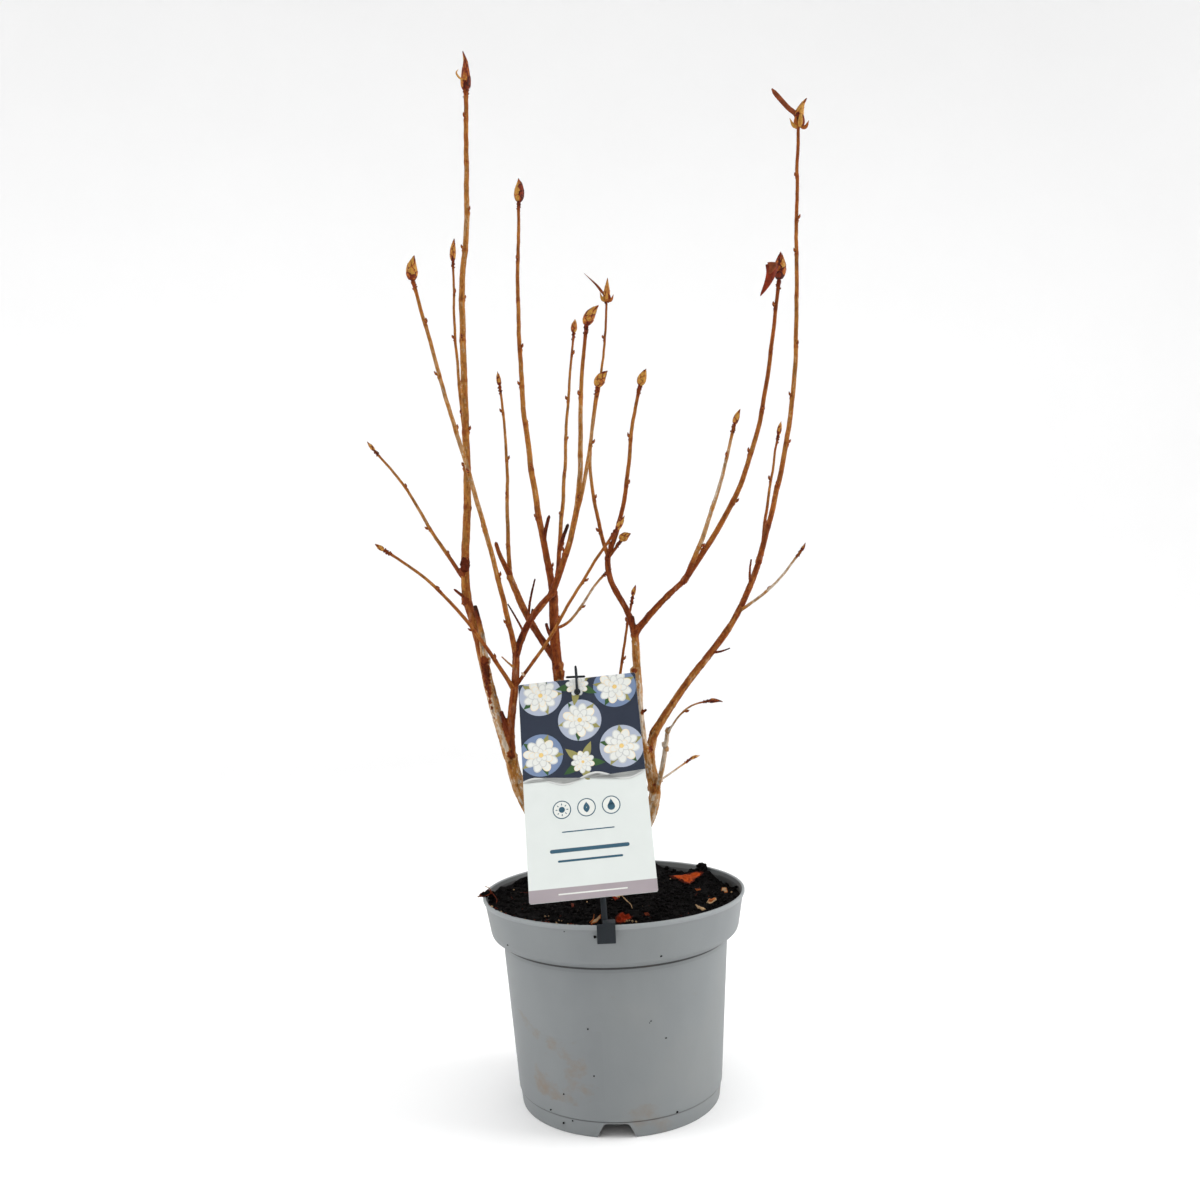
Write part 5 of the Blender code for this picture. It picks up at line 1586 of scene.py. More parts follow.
def draw_picture(ink):
    """A dark ground above a wavy edge, and pale rosettes on leaves and round spots."""
    half = CARD_WIDTH / 2 - CARD_MARGIN
    along = [-half + (2 * half) * step / 40 for step in range(41)]
    edge = [(x, picture_edge(x)) for x in along]
    corner = []
    for sign, start in ((1, 0), (-1, 90)):
        for angle in (start, start + 30, start + 60, start + 90):
            corner.append((sign * (half - CARD_CORNER) + CARD_CORNER * math.cos(math.radians(angle)),
                           CARD_LENGTH - CARD_CORNER + CARD_CORNER * math.sin(math.radians(angle))))
    ink.area(edge + corner, INK_GROUND, 1)
    half_height = (CARD_LENGTH - PICTURE_FOOT) / 2
    places = [(x, PICTURE_FOOT + half_height * (1.0 + z)) for x, z in ROSETTES]
    for index, (x, z) in enumerate(places[:LARGE_ROSETTES]):
        ink.disc(x, z, 15.5, INK_SLATE if index % 2 else INK_HAZE, 2, 40)
    for index, (x, z) in enumerate(places):
        for side in range(5):
            turn = 0.4 * index + math.tau * side / 5
            ink.leaf(x, z, 16.0, 5.6, turn, INK_GREEN if side % 2 else INK_OLIVE, 3)
        ink.rosette(x, z, 12.6 if index < LARGE_ROSETTES else 8.2, 0.3 * index, 4)
    ink.area([(x, z + 0.3) for x, z in edge] + [(x, z - 1.0) for x, z in reversed(edge)], INK_SHADE, 12)


def draw_sun(ink, x):
    """The first care sign's middle: a disc with eight short rays."""
    ink.disc(x, SIGN_HEIGHT, 2.1, INK_TEAL, 3)
    for ray in range(8):
        angle = math.tau * ray / 8
        start = (x + 2.9 * math.cos(angle), SIGN_HEIGHT + 2.9 * math.sin(angle))
        ink.leaf(*start, 1.7, 0.7, angle, INK_TEAL, 3)


def draw_flame(ink, x):
    """The second sign's middle: one upright leaf with a pale spot."""
    ink.leaf(x, SIGN_HEIGHT - 3.6, 7.4, 4.4, math.pi / 2, INK_TEAL, 3)
    ink.bar(x, SIGN_HEIGHT, 0.5, 0.5, INK_WHITE, 4)


def draw_drop(ink, x):
    """The third sign's middle: a drop."""
    ink.disc(x, SIGN_HEIGHT - 1.0, 2.6, INK_TEAL, 3)
    ink.area([(x - 2.4, SIGN_HEIGHT), (x + 2.4, SIGN_HEIGHT), (x, SIGN_HEIGHT + 4.4)], INK_TEAL, 3)


def make_card():
    """The printed side of the card: a sprigged picture, three care signs, rules and a band."""
    ink = Print()
    draw_picture(ink)
    for draw, x in zip((draw_sun, draw_flame, draw_drop), (-17.0, 0.0, 17.0)):
        ink.disc(x, SIGN_HEIGHT, 6.4, INK_TEAL, 1)
        ink.disc(x, SIGN_HEIGHT, 5.7, INK_WHITE, 2)
        draw(ink, x)
    for z, length, thick in ((45.5, 36.0, 0.8), (33.0, 54.0, 2.6), (26.0, 44.0, 1.5)):
        ink.bar(0.0, z, length, thick, INK_TEAL, 1)
    half = CARD_WIDTH / 2 - CARD_MARGIN
    band = [(-half + CARD_CORNER, CARD_MARGIN), (half - CARD_CORNER, CARD_MARGIN), (half - 0.4, 0.45),
            (half, CARD_CORNER), (half, BAND_HEIGHT), (-half, BAND_HEIGHT), (-half, CARD_CORNER),
            (-half + 0.4, 0.45)]
    ink.area(band, INK_BAND, 1)
    ink.bar(0.0, 4.4, 46.0, 0.9, INK_WHITE, 2)
    piece("label_print", ink.shape, ink_finishes(), (), 30.0)
    card = frame["nodes"]["label_card"]
    card.data.materials.clear()
    card.data.materials.append(plain_finish("card_stock", srgb(212, 217, 214), 0.4, 40.0, 0.02, 0.02, 0.3))


def rounded_box(shape, centre, size):
    """A block with bevelled edges."""
    made = bmesh.new()
    bmesh.ops.create_cube(made, size=1.0)
    for vert in made.verts:
        vert.co = Vector([value * side for value, side in zip(vert.co, size)])
    bmesh.ops.bevel(made, geom=made.edges[:], offset=CLIP_EDGE, segments=3, affect="EDGES", profile=0.5)
    made.verts.index_update()
    points = [tuple(vert.co + Vector(centre)) for vert in made.verts]
    faces = [tuple(vert.index for vert in face.verts) for face in made.faces]
    made.free()
    shape.add(points, faces, 0)


def rod(shape, points, radii):
    """A round rod through a few points, with soft ends."""
    path = smooth_path(points, 8 * len(points))
    share = np.linspace(0.0, len(radii) - 1, len(path))
    thick = np.interp(share, range(len(radii)), radii)
    count = np.arange(len(path))
    ends = np.clip(np.minimum(count, count[::-1]) * 0.5 + 0.55, 0.0, 1.0)
    shape.add(*sweep(path, thick * ends, ROD_SIDES), 0)


def make_knob(shape, world):
    """The pin's round head in the card's hole, dished in front."""
    head = Shape()
    profile = [(0.0, -0.5), (1.2, -0.5), (1.5, -0.1), (KNOB_RADIUS - 0.5, 0.0), (KNOB_RADIUS, -0.45),
               (KNOB_RADIUS, -KNOB_DEPTH), (KNOB_RADIUS - 0.4, -KNOB_DEPTH - 0.8), (0.0, -KNOB_DEPTH - 0.8)]
    turned(head, list(reversed(profile)), 28, 0)
    front = -PIN_CLEARANCE - CROSSBAR_RADIUS - KNOB_DEPTH
    points = [world(x, front - z, HOLE_HEIGHT + y) for x, y, z in head.points[0]]
    shape.add(points, head.faces, 0)


def make_clip(shape):
    """The clip over the rim: its roof, the tab outside the pot and the tongue inside."""
    outer_y = -(RIM_RADIUS + 0.3 + CLIP_THICKNESS / 2)
    inner_y = -CLIP_TONGUE_REACH
    top = POT_HEIGHT + 0.3 + CLIP_THICKNESS / 2
    roof_x = CLIP_X + CLIP_ROOF_SHIFT
    roof_size = (CLIP_ROOF_WIDTH, inner_y - outer_y + CLIP_THICKNESS, CLIP_THICKNESS)
    rounded_box(shape, (roof_x, (inner_y + outer_y) / 2, top), roof_size)
    rounded_box(shape, (CLIP_X, outer_y, top - CLIP_DROP / 2), (CLIP_WIDTH, CLIP_THICKNESS, CLIP_DROP))
    rounded_box(shape, (roof_x, inner_y, top - CLIP_INSIDE_DROP / 2),
                (CLIP_ROOF_WIDTH, CLIP_THICKNESS, CLIP_INSIDE_DROP))


def make_holder():
    """The dark holder: clip over the rim, stem, crossbar, and the pin that comes over the card."""
    matrix = label_matrix()

    def world(*local):
        return tuple(matrix @ Vector(local))

    shape = Shape()
    bar_y = CARD_THICKNESS + 0.3 + STEM_RADIUS
    bar = CARD_LENGTH + CROSSBAR_RISE
    foot = (CLIP_X + STEM_FOOT[0], STEM_FOOT[1] - CLIP_TONGUE_REACH, POT_HEIGHT + STEM_FOOT[2])
    bend = Vector(world(STEM_BEND[0], STEM_BEHIND + STEM_RADIUS, STEM_BEND[1]))
    head = Vector(world(0.0, bar_y, bar + CROSSBAR_RADIUS))
    stem = [foot, tuple(bend), tuple(bend.lerp(head, 0.5)), tuple(head)]
    rod(shape, stem, [STEM_RADIUS * share for share in STEM_TAPER])
    half = CROSSBAR_LENGTH / 2
    left = world(CROSSBAR_SHIFT - half, bar_y, bar + CROSSBAR_TILT)
    right = world(CROSSBAR_SHIFT + half, bar_y, bar - CROSSBAR_TILT)
    rod(shape, [left, right], [CROSSBAR_RADIUS, CROSSBAR_RADIUS])
    top = bar + PIN_RISE
    front = -PIN_CLEARANCE - CROSSBAR_RADIUS
    loop = [(bar_y, bar - 2.0), (bar_y, top - 1.0), ((bar_y + front) / 2, top + 0.6), (front, top - 1.0),
            (front, (top + HOLE_HEIGHT) / 2), (front, HOLE_HEIGHT)]
    rod(shape, [world(0.0, y, z) for y, z in loop], [CROSSBAR_RADIUS * share for share in PIN_TAPER])
    make_knob(shape, world)
    make_clip(shape)
    finish = plain_finish("holder_plastic", srgb(33, 37, 41), 0.6, 220.0, 0.14, 0.04, 0.15)
    piece("moulded_holder", shape, [finish], ("label_holder",), 38.0)


# ---------------------------------------------------------------- limbs

class Grown:
    """A limb placed by the growth rule, with a fine centre line."""

    def __init__(self, limb, root, step):
        tip = np.array(limb.tip, float)
        chord = tip - root
        count = max(6, round(np.linalg.norm(chord) / step))
        share = np.linspace(0.0, 1.0, count + 1)
        arch = np.array([limb.arch[0], DEPTH_ARCH * chord[1], limb.arch[1]])
        ess = np.array([limb.ess[0], 0.0, limb.ess[1]])
        bend = arch * np.sin(np.pi * share)[:, None] + ess * np.sin(math.tau * share)[:, None]
        self.limb = limb
        self.line = root + chord * share[:, None] + bend
        places, shifts = zip(*BENDS.get(limb.name, ((0.0, 0.0), (1.0, 0.0))))
        for reach in (-0.02, 0.0, 0.02):
            self.line[:, 0] += np.interp(share + reach, places, shifts) / 3.0
        self.walked = path_lengths(self.line)
        self.total = self.walked[-1]
        taper = limb.root_radius + (limb.tip_radius - limb.root_radius) * self.walked / self.total
        self.radii = taper * (1.0 + ROOT_SWELL * np.exp(-self.walked / ROOT_SWELL_LENGTH))

    def at(self, share):
        return point_on(self.line, share)


def grow_all():
    """Places every limb, parents first, by name."""
    grown = {}
    crown = np.array([CROWN_FOOT[0] + CROWN_LEAN[0], CROWN_FOOT[1] + CROWN_LEAN[1],
                      SOIL_CROWN_HEIGHT + CROWN_HEIGHT - 5.0])
    for limb in LIMBS + EXTRAS:
        if limb.parent == "trunk":
            lean = np.array(limb.tip) - crown
            lean /= np.linalg.norm(lean)
            root = crown + np.array([lean[0], lean[1], 0.0]) * CROWN_WAIST_RADIUS * 0.45
        else:
            root = grown[limb.parent].at(limb.at)
        grown[limb.name] = Grown(limb, root, BOUGH_STEP if limb.name in BOUGH_NAMES else SHOOT_STEP)
    return grown


def bud_places(grown, chance):
    """Where the side buds stand: length along the shoot, outward direction, centre and the way ahead."""
    places = []
    place = SIDE_BUD_STEP * chance.uniform(0.6, 1.0)
    turn = chance.uniform(0.0, math.tau)
    while place < grown.total - SIDE_BUD_STEP * 0.5:
        share = place / grown.total
        centre = Vector(grown.at(share))
        ahead = (Vector(grown.at(min(1.0, share + 0.02))) - centre).normalized()
        across = ahead.orthogonal().normalized()
        outward = across * math.cos(turn) + ahead.cross(across) * math.sin(turn)
        places.append((place, outward, centre, ahead))
        place += SIDE_BUD_STEP * chance.uniform(0.8, 1.25)
        turn += LEAF_TURN
    return places


def flow(u, turn, seed, along, around):
    """Noise that runs with a limb: u along it, turn about it."""
    return noise.noise(Vector((u * along + seed * 7.3, math.cos(turn) * around + seed * 3.1,
                               math.sin(turn) * around - seed * 5.7)))


# ---------------------------------------------------------------- bark of trunk and boughs

def crown_shape(shape):
    """The flared, ribbed stock, from its flat cut at the soil to the fork."""
    sides = 48
    levels = 14
    foot = SOIL_CROWN_HEIGHT + 0.3
    points = []
    for level in range(levels + 1):
        share = level / levels
        flare = (1.0 - share) ** 2.2
        radius = CROWN_WAIST_RADIUS + (CROWN_FLARE_RADIUS - CROWN_WAIST_RADIUS) * flare
        radius *= 1.0 - 0.28 * max(0.0, share - 0.8) / 0.2
        for side in range(sides):
            turn = math.tau * side / sides
            rib = 1.0 + 0.13 * flare * math.cos(CROWN_BUTTRESSES * turn + 0.7)
            points.append((CROWN_FOOT[0] + CROWN_LEAN[0] * share + radius * rib * math.cos(turn),
                           CROWN_FOOT[1] + CROWN_LEAN[1] * share + radius * rib * math.sin(turn),
                           foot + CROWN_HEIGHT * share))
    faces = [tuple(reversed(range(sides)))]
    for low in range(0, levels * sides, sides):
        faces += [(low + side, low + after, low + sides + after, low + sides + side)
                  for side, after in ring_pairs(sides)]
    faces.append(tuple(range(levels * sides, (levels + 1) * sides)))
    shape.add(points, faces, 0)


def bark_tubes(grown):
    """Name, line, radii and limb length of the fused tubes: boughs whole, shoots only at their feet."""
    shoots = [limb for limb in LIMBS if limb.name not in BOUGH_NAMES and limb.parent in BOUGH_NAMES]
    tubes = []
    for limb in BOUGHS + shoots + EXTRAS:
        made = grown[limb.name]
        if limb in shoots:
            keep = made.walked <= FOOT_LENGTH
            end = np.clip((made.walked[keep] - FOOT_LENGTH * 0.5) / (FOOT_LENGTH * 0.5), 0.0, 1.0)
            tubes.append((limb.name, made.line[keep], made.radii[keep] * (1.0 - 0.12 * end), made.total))
        else:
            tubes.append((limb.name, made.line, made.radii, made.total))
    return tubes


def bark_relief(u, turn, seed):
    """How far the bark stands out, in millimetres: ridges along it, lumps and low rings."""
    ridges = flow(u, turn, seed, 0.05, 2.6)
    lumps = flow(u, turn, seed + 11, 0.16, 1.1)
    fine = flow(u, turn, seed + 23, 0.5, 4.5)
    return 0.34 * ridges + 0.38 * lumps + 0.22 * fine


def make_bark(grown, materials):
    """One fused bark: tubes joined by a voxel remesh, then given relief and shades."""
    shape = Shape()
    crown_shape(shape)
    tubes = bark_tubes(grown)
    for _, line, radii, _ in tubes:
        shape.add(*sweep(line, radii, 16), 0)
    for place, size in KNOTS:
        ball = [tuple(Vector(corner) * size + Vector(place)) for corner in LUMP_POINTS]
        shape.add(ball, LUMP_FACES, 0)
    replaced = ["trunk"] + [limb.name for limb in BOUGHS]
    bark = piece("bark_of_trunk_and_boughs", shape, materials, replaced)
    remesh = bark.modifiers.new("fuse", "REMESH")
    remesh.mode = "VOXEL"
    remesh.voxel_size = BARK_VOXEL * MM
    remesh.adaptivity = 0.0
    soften = bark.modifiers.new("soften", "SMOOTH")
    soften.factor = 0.5
    soften.iterations = 3
    bake(bark)
    dress_bark(bark, tubes, materials)


def read_vectors(holder, key, count):
    """A mesh's vectors as an array with a row for each."""
    values = np.empty(count * 3)
    holder.foreach_get(key, values)
    return values.reshape(-1, 3)


def bark_samples(tubes):
    """Every point of the tubes' lines with what the bark needs there, and a search tree of the points."""
    samples = []
    for index, (_, line, radii, _) in enumerate(tubes):
        walked = path_lengths(line)
        _, across, beside = frames(line)
        for step in range(len(line)):
            samples.append((index, walked[step], radii[step], line[step], across[step], beside[step]))
    tree = kdtree.KDTree(len(samples))
    for index, sample in enumerate(samples):
        tree.insert(Vector(sample[3]) * MM, index)
    tree.balance()
    return samples, tree


def dress_bark(bark, tubes, materials):
    """Moves each point out or in by the relief of its limb and picks each face's shade."""
    mesh = bark.data
    mesh.materials.clear()
    for material in materials:
        mesh.materials.append(material)
    samples, tree = bark_samples(tubes)
    count = len(mesh.vertices)
    points = read_vectors(mesh.vertices, "co", count)
    normals = read_vectors(mesh.vertex_normals, "vector", count)
    tones = np.empty(count)
    moves = np.empty(count)
    for index, point in enumerate(points):
        near = tree.find_n(Vector(point), 5)
        best = min(near, key=lambda found: found[2] - samples[found[1]][2] * MM)
        limb, u, radius, centre, across, beside = samples[best[1]]
        away = point / MM - centre
        turn = math.atan2(away.dot(beside), away.dot(across))
        name, _, _, whole = tubes[limb]
        move = bark_relief(u, turn, limb) * min(1.0, radius / 3.0)
        tone = bark_tone(name, u / whole, u, turn, limb)
        tones[index], moves[index] = patched(point / MM, tone, move)
    points += normals * (moves * MM)[:, None]
    mesh.vertices.foreach_set("co", points.ravel())
    picks = [shade_number(sum(tones[corner] for corner in face.vertices) / len(face.vertices))
             for face in mesh.polygons]
    mesh.polygons.foreach_set("material_index", picks)
    mesh.shade_smooth()
    mesh.update()


def bark_tone(name, share, u, turn, seed):
    """A bough's shade at a point, as a number along SHADES."""
    base = np.interp(share, TONE_PLACES, TONES.get(name, STUB_TONES))
    slow = 1.7 * flow(u, turn, seed + 40, 0.06, 1.7) + 1.3 * flow(u, turn, seed + 60, 0.28, 3.4)
    return base + slow + 1.3 * flow(u, turn, seed + 80, 0.8, 6.0)


def patched(place, tone, move):
    """The shade and relief at a point, changed where it lies in a patch."""
    for centre, size, patch_tone, depth in PATCHES:
        offset = Vector(place) - Vector(centre)
        ragged = size * (1.0 + 0.45 * noise.noise(Vector(place) * 0.55))
        if offset.length < ragged:
            tone = patch_tone + 1.3 * noise.noise(Vector(place) * 0.8)
            move -= depth * (1.0 - offset.length / ragged)
    return tone, move


# ---------------------------------------------------------------- shoots and buds

def wobble(line, walked, total, seed):
    """A shoot's small wanderings, none at its root and tip."""
    moved = line.copy()

    def drift(*places):
        return Vector([noise.noise(Vector(place)) for place in places] + [0.0])

    for index, u in enumerate(walked):
        hold = min(1.0, u / 12.0, (total - u) / 12.0)
        slow = u * 0.045
        quick = u * 0.16
        wide = drift((slow, seed * 3.3, 0.0), (slow, 9.0, seed))
        small = drift((quick, seed, 4.0), (quick, 2.0, seed))
        moved[index] += np.array(wide * 0.8 + small * 0.16) * hold
    return moved


def shoot_radii(line, radii, walked, places, seed, young):
    """A radius for each ring and side: ridges, ring scars at the foot, nodes at the buds."""
    turns = np.arange(SHOOT_SIDES) * math.tau / SHOOT_SIDES
    _, across, beside = frames(line)
    made = np.repeat(radii[:, None], SHOOT_SIDES, axis=1)
    for row, u in enumerate(walked):
        for side, turn in enumerate(turns):
            relief = 0.035 * flow(u, turn, seed, 0.12, 1.3) + 0.03 * flow(u, turn, seed + 5, 0.5, 2.2)
            made[row, side] *= 1.0 + relief
        if u < RING_SCAR_LENGTH and young:
            made[row] *= 1.0 + 0.05 * math.sin(u * 4.2) * math.exp(-u / 7.0)
    for place, outward, _, _ in places:
        row = int(np.argmin(np.abs(walked - place)))
        angle = math.atan2(np.dot(outward, beside[row]), np.dot(outward, across[row]))
        facing = 0.5 + 0.5 * np.cos(turns - angle)
        for index in np.where(np.abs(walked - place) < 7.0)[0]:
            offset = walked[index] - place
            round_swell = 0.06 * math.exp(-((offset + 0.6) / 1.9) ** 2)
            shelf = 0.26 * math.exp(-((offset + 1.4) / 1.25) ** 2) * facing ** 3
            made[index] *= 1.0 + round_swell + shelf
    if young:
        left = walked[-1] - walked
        made *= (1.0 + 0.30 * np.exp(-(left / 3.2) ** 2) + 0.10 * np.exp(-((left - 6.5) / 1.2) ** 2))[:, None]
    return made


def shoot_tones(limb, walked, total, seed, places):
    """A shade for each face of a shoot, ring by ring."""
    picks = []
    for row in range(len(walked) - 1):
        u = (walked[row] + walked[row + 1]) / 2
        base = np.interp(u / total, TONE_PLACES, TONES[limb.name])
        if limb.bud:
            base -= 2.2 * math.exp(-((total - u) / 5.0) ** 2)
        for place, _, _, _ in places:
            base -= 1.1 * math.exp(-((u - place + 1.0) / 1.4) ** 2)
        for side in range(SHOOT_SIDES):
            turn = math.tau * (side + 0.5) / SHOOT_SIDES
            slow = 1.0 * flow(u, turn, seed + 31, 0.07, 1.0)
            picks.append(shade_number(base + slow + 1.1 * flow(u, turn, seed + 47, 0.4, 2.4)))
    return picks


def add_shoot(shape, grown, places, seed):
    """One shoot as a fine tube, ended by its bud or by a broken end."""
    limb = grown.limb
    start = int(np.searchsorted(grown.walked, FOOT_LENGTH * 0.55)) if limb.parent in BOUGH_NAMES else 0
    line = wobble(grown.line, grown.walked, grown.total, seed)
    radii = shoot_radii(line, grown.radii, grown.walked, places, seed, limb.bud is not None)
    if limb.bud is None:
        break_end(radii, grown.walked, grown.total, seed)
    points, faces = sweep(line[start:], radii[start:], SHOOT_SIDES)
    tones = shoot_tones(limb, grown.walked[start:], grown.total, seed, places)
    tones += [1, 1] * SHOOT_SIDES
    shape.add(points, faces, tones)
    for place, outward, centre, ahead in places:
        row = int(np.argmin(np.abs(grown.walked - place)))
        shift = Vector(line[row] - grown.line[row])
        radius = float(np.interp(place, grown.walked, grown.radii))
        add_side_bud(shape, centre + shift, outward, ahead, radius, seed + place)
    if limb.bud:
        add_bud(shape, limb, line, radii, seed)


def break_end(radii, walked, total, seed):
    """A dead stub narrows unevenly to a broken, splintered end."""
    sides = radii.shape[1]
    for row, u in enumerate(walked):
        left = total - u
        for side in range(sides):
            turn = math.tau * side / sides
            ragged = 1.5 + 1.6 * flow(0.0, turn, seed, 0.0, 2.2)
            if left < ragged:
                radii[row, side] *= max(0.25, left / ragged)


def add_side_bud(shape, centre, outward, ahead, radius, seed):
    """A small pointed bud pressed to the shoot above its leaf scar, with three scales."""
    chance = random.Random(round(seed * 10))
    foot = centre + outward * (radius - 0.5)
    tip = foot + ahead * 4.0 + outward * 1.9
    path = smooth_path([foot, foot.lerp(tip, 0.5) + outward * 0.35, tip], len(SIDE_BUD_SWELLS))
    points, faces = sweep(path, np.array(SIDE_BUD_SWELLS) * chance.uniform(0.85, 1.1), SIDE_BUD_SIDES)
    tones = []
    for row in range(len(SIDE_BUD_SWELLS) - 1):
        for side in range(SIDE_BUD_SIDES):
            mark = (side * 0.37 + row * 0.55 + chance.uniform(0, 0.4)) % 1.6
            tones.append(BUD_FINISH_START + (1 if mark < 0.7 else 3 if mark < 1.2 else 2))
    tones += [BUD_FINISH_START + 3] * (2 * SIDE_BUD_SIDES)
    shape.add(points, faces, tones)
    scar = centre + outward * (radius * 1.12) - ahead * 1.5
    lump(shape, scar, 0.55, chance, 1, 0.8)


def bud_line(limb, line):
    """The centre of a terminal bud at a share of its length."""
    reach = np.array(limb.bud.reach, float)
    length = np.linalg.norm(reach)
    ahead = line[-1] - line[-3]
    ahead *= length / np.linalg.norm(ahead)

    def centre(share):
        hook = HOOKS.get(limb.name, 0.0) * max(0.0, share - 0.72) / 0.28
        return line[-1] + (ahead + (reach - ahead) * share) * share + np.array([hook, 0.0, 0.0])
    return centre


def bud_radius(share, bud, stem_radius, slender):
    """The bud's plump section, closing to a point; a slender one narrows sooner."""
    radius = bud.radius * 0.93 * np.interp(share ** (1.0 / slender), BUD_PLACES, BUD_SWELLS)
    return max(radius, stem_radius * max(0.0, 1.0 - share * 8.0))


def add_bud(shape, limb, line, radii, seed):
    """A terminal bud: a core wrapped in overlapping scales, each a thin closed shell."""
    centre = bud_line(limb, line)
    chance = random.Random(seed * 131 + 7)
    stem_radius = float(radii[-1].mean())
    warm, slender = BUD_LOOKS.get(limb.name, PLAIN_BUD)
    blush = BUD_BLUSH.get(limb.name, 0.0)
    shares = np.linspace(0.0, 0.97, 22)
    path = np.array([centre(share) for share in shares])
    core = [bud_radius(share, limb.bud, stem_radius, slender) * 0.88 for share in shares]
    points, faces = sweep(path, core, 14)
    shape.add(points, faces, [BUD_FINISH_START + 2] * len(faces))
    _, across, beside = frames(path)
    count = 15 if limb.bud.radius > 2.4 else 8
    turn = chance.uniform(0, math.tau)
    plump = limb.bud.radius / 4.0
    for index in range(count):
        rank = index / (count - 1)
        start = 0.0 + 0.50 * rank ** 0.9
        end = min(1.0, start + (0.26 + 0.26 * rank) * chance.uniform(0.92, 1.1))
        half = (1.2 - 0.2 * rank) * chance.uniform(0.9, 1.1)
        stand = (0.12 + 0.26 * (1.0 - rank) * plump, chance.uniform(0.0, 0.22) * plump)
        tint = warm - 0.45 * max(0.0, 0.4 - rank) + chance.uniform(-0.22, 0.22)
        tint -= blush * (across[3][0] * math.cos(turn) + beside[3][0] * math.sin(turn))
        add_scale(shape, centre, (path, across, beside), (start, end), (turn, half), stand,
                  (limb.bud, stem_radius, slender), tint, chance)
        turn += LEAF_TURN + chance.uniform(-0.15, 0.15)
    add_neck_lumps(shape, line, stem_radius, chance)


def add_neck_lumps(shape, line, stem_radius, chance):
    """Leaf scars that crowd the last few millimetres below a terminal bud."""
    _, across, beside = frames(line)
    turn = chance.uniform(0, math.tau)
    for index in range(11):
        row = len(line) - 1 - index // 2
        out = across[row] * math.cos(turn) + beside[row] * math.sin(turn)
        place = line[row] + out * stem_radius * 0.9
        lump(shape, place, chance.uniform(0.6, 1.0), chance, chance.choice((1, 2, 2, 10, 11)), 1.1)
        turn += LEAF_TURN


def add_scale(shape, centre, body, span, wrap, stand, form, warm, chance):
    """One bud scale: thin, wrapped about the bud, with a darker margin and tip."""
    path, across, beside = body
    start, end = span
    turn, half = wrap
    lift, flare = stand
    outer = []
    inner = []
    for row in range(SCALE_ROWS):
        v = row / (SCALE_ROWS - 1)
        share = start + (end - start) * v
        place = centre(min(share, 1.0))
        index = min(len(path) - 1, int(share / BUD_CORE_SHARE * (len(path) - 1)))
        base = bud_radius(share, *form)
        width = half * (1.0 - v ** 2.6) ** 0.62 * (0.82 + 0.18 * math.sin(math.pi * v))
        for column in range(SCALE_COLUMNS):
            w = column / (SCALE_COLUMNS - 1) * 2.0 - 1.0
            angle = turn + w * width
            hug = 1.0 - 0.5 * abs(w) ** 2
            stand_out = base + lift * hug * (0.65 + 0.35 * v) + flare * v ** 3
            direction = across[index] * math.cos(angle) + beside[index] * math.sin(angle)
            thickness = 0.05 + 0.16 * (1.0 - abs(w) ** 3) * (1.0 - v ** 3)
            outer.append(place + direction * stand_out)
            inner.append(place + direction * (stand_out - thickness))
    faces = []
    tones = []
    total = SCALE_ROWS * SCALE_COLUMNS
    for row in range(SCALE_ROWS - 1):
        v = (row + 0.5) / (SCALE_ROWS - 1)
        for column in range(SCALE_COLUMNS - 1):
            w = abs((column + 0.5) / (SCALE_COLUMNS - 1) * 2.0 - 1.0)
            a = row * SCALE_COLUMNS + column
            b = a + SCALE_COLUMNS
            faces += [(a, a + 1, b + 1, b), (total + a, total + b, total + b + 1, total + a + 1)]
            tones += [BUD_FINISH_START + scale_tone(v, w, warm, chance), BUD_FINISH_START + 3]
    rim = grid_rim(SCALE_ROWS, SCALE_COLUMNS)
    for first, second in zip(rim, rim[1:] + rim[:1]):
        faces.append((first, total + first, total + second, second))
        tones.append(BUD_FINISH_START + 2)
    shape.add(np.array(outer + inner), faces, tones)


def scale_tone(v, w, warm, chance):
    """Which bud finish a place on a scale takes: ochre back, red and dark margin."""
    value = 1.9 * warm - 3.4 * max(0.0, w - 0.5) - 2.0 * max(0.0, v - 0.72) + chance.uniform(-0.25, 0.25)
    if v < 0.2:
        value -= 0.7
    return sum(value <= limit for limit in (0.8, 0.4, -0.2))


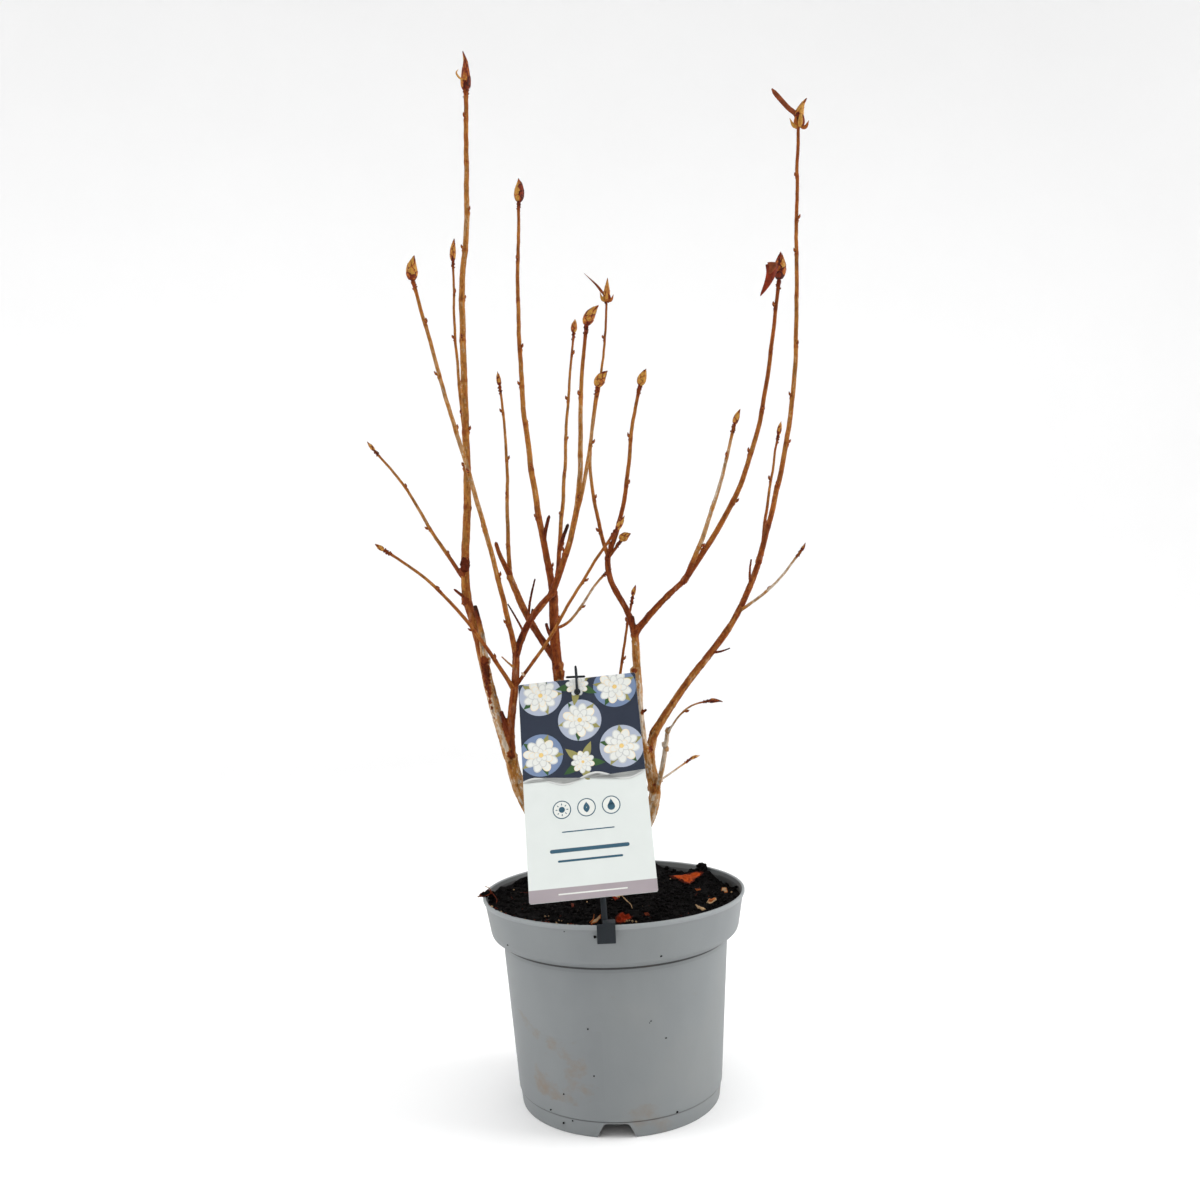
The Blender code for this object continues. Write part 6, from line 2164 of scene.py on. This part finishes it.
def make_masses(grown, materials):
    """Each mass as its shoots, carried on to buds, nodes and stubs."""
    chance = random.Random(SEED)
    finishes = materials + plain_finishes(BUD_FINISHES)
    seed = 3
    for name, limbs in MASSES.items():
        shape = Shape()
        for limb in limbs:
            places = bud_places(grown[limb.name], chance) if limb.bud else []
            add_shoot(shape, grown[limb.name], places, seed)
            seed += 1
        for leaf in LEAVES.get(name, []):
            add_leaf(shape, *leaf)
        for centre, size, tone in SHOOT_KNOTS.get(name, []):
            lump(shape, centre, size, chance, tone, 1.2)
        piece(name + "_grown", shape, finishes, (name,), 50.0)


def leaf_width(share, form):
    """The share of its full width that a leaf has at a share of its length."""
    if form == "strip":
        return min(1.0, 0.45 + 4.0 * share, 0.25 + 9.0 * (1.0 - share))
    if form == "ear":
        return max(0.06, (1.0 - share) ** 0.62)
    return max(0.08, math.sin(math.pi * (0.08 + 0.9 * share) ** 0.8))


def add_leaf(shape, points, width, curl, finish, form):
    """A withered leaf or scale as a thin closed strip, rolled across its width."""
    path = smooth_path(points, LEAF_ROWS)
    _, across, beside = frames(path)
    outer = []
    inner = []
    for row in range(LEAF_ROWS):
        half = width / 2 * leaf_width(row / (LEAF_ROWS - 1), form)
        radius = half / max(curl, 0.01)
        for column in range(LEAF_COLUMNS):
            angle = (column / (LEAF_COLUMNS - 1) * 2.0 - 1.0) * curl
            place = path[row] + beside[row] * (math.sin(angle) * radius)
            rise = (1.0 - math.cos(angle)) * radius
            outer.append(place + across[row] * (rise + LEAF_HALF_THICKNESS))
            inner.append(place + across[row] * (rise - LEAF_HALF_THICKNESS))
    total = len(outer)
    faces = []
    for row in range(LEAF_ROWS - 1):
        for column in range(LEAF_COLUMNS - 1):
            a = row * LEAF_COLUMNS + column
            b = a + LEAF_COLUMNS
            faces += [(a, b, b + 1, a + 1), (total + a, total + a + 1, total + b + 1, total + b)]
    rim = grid_rim(LEAF_ROWS, LEAF_COLUMNS)
    faces += [(first, second, total + second, total + first) for first, second in zip(rim, rim[1:] + rim[:1])]
    shape.add(np.array(outer + inner), faces, [finish] * len(faces))


def main():
    make_camera()
    make_floor()
    make_light()
    make_pot()
    make_soil()
    make_card()
    make_holder()
    grown = grow_all()
    make_bark(grown, bark_materials(True))
    make_masses(grown, bark_materials(False))


main()
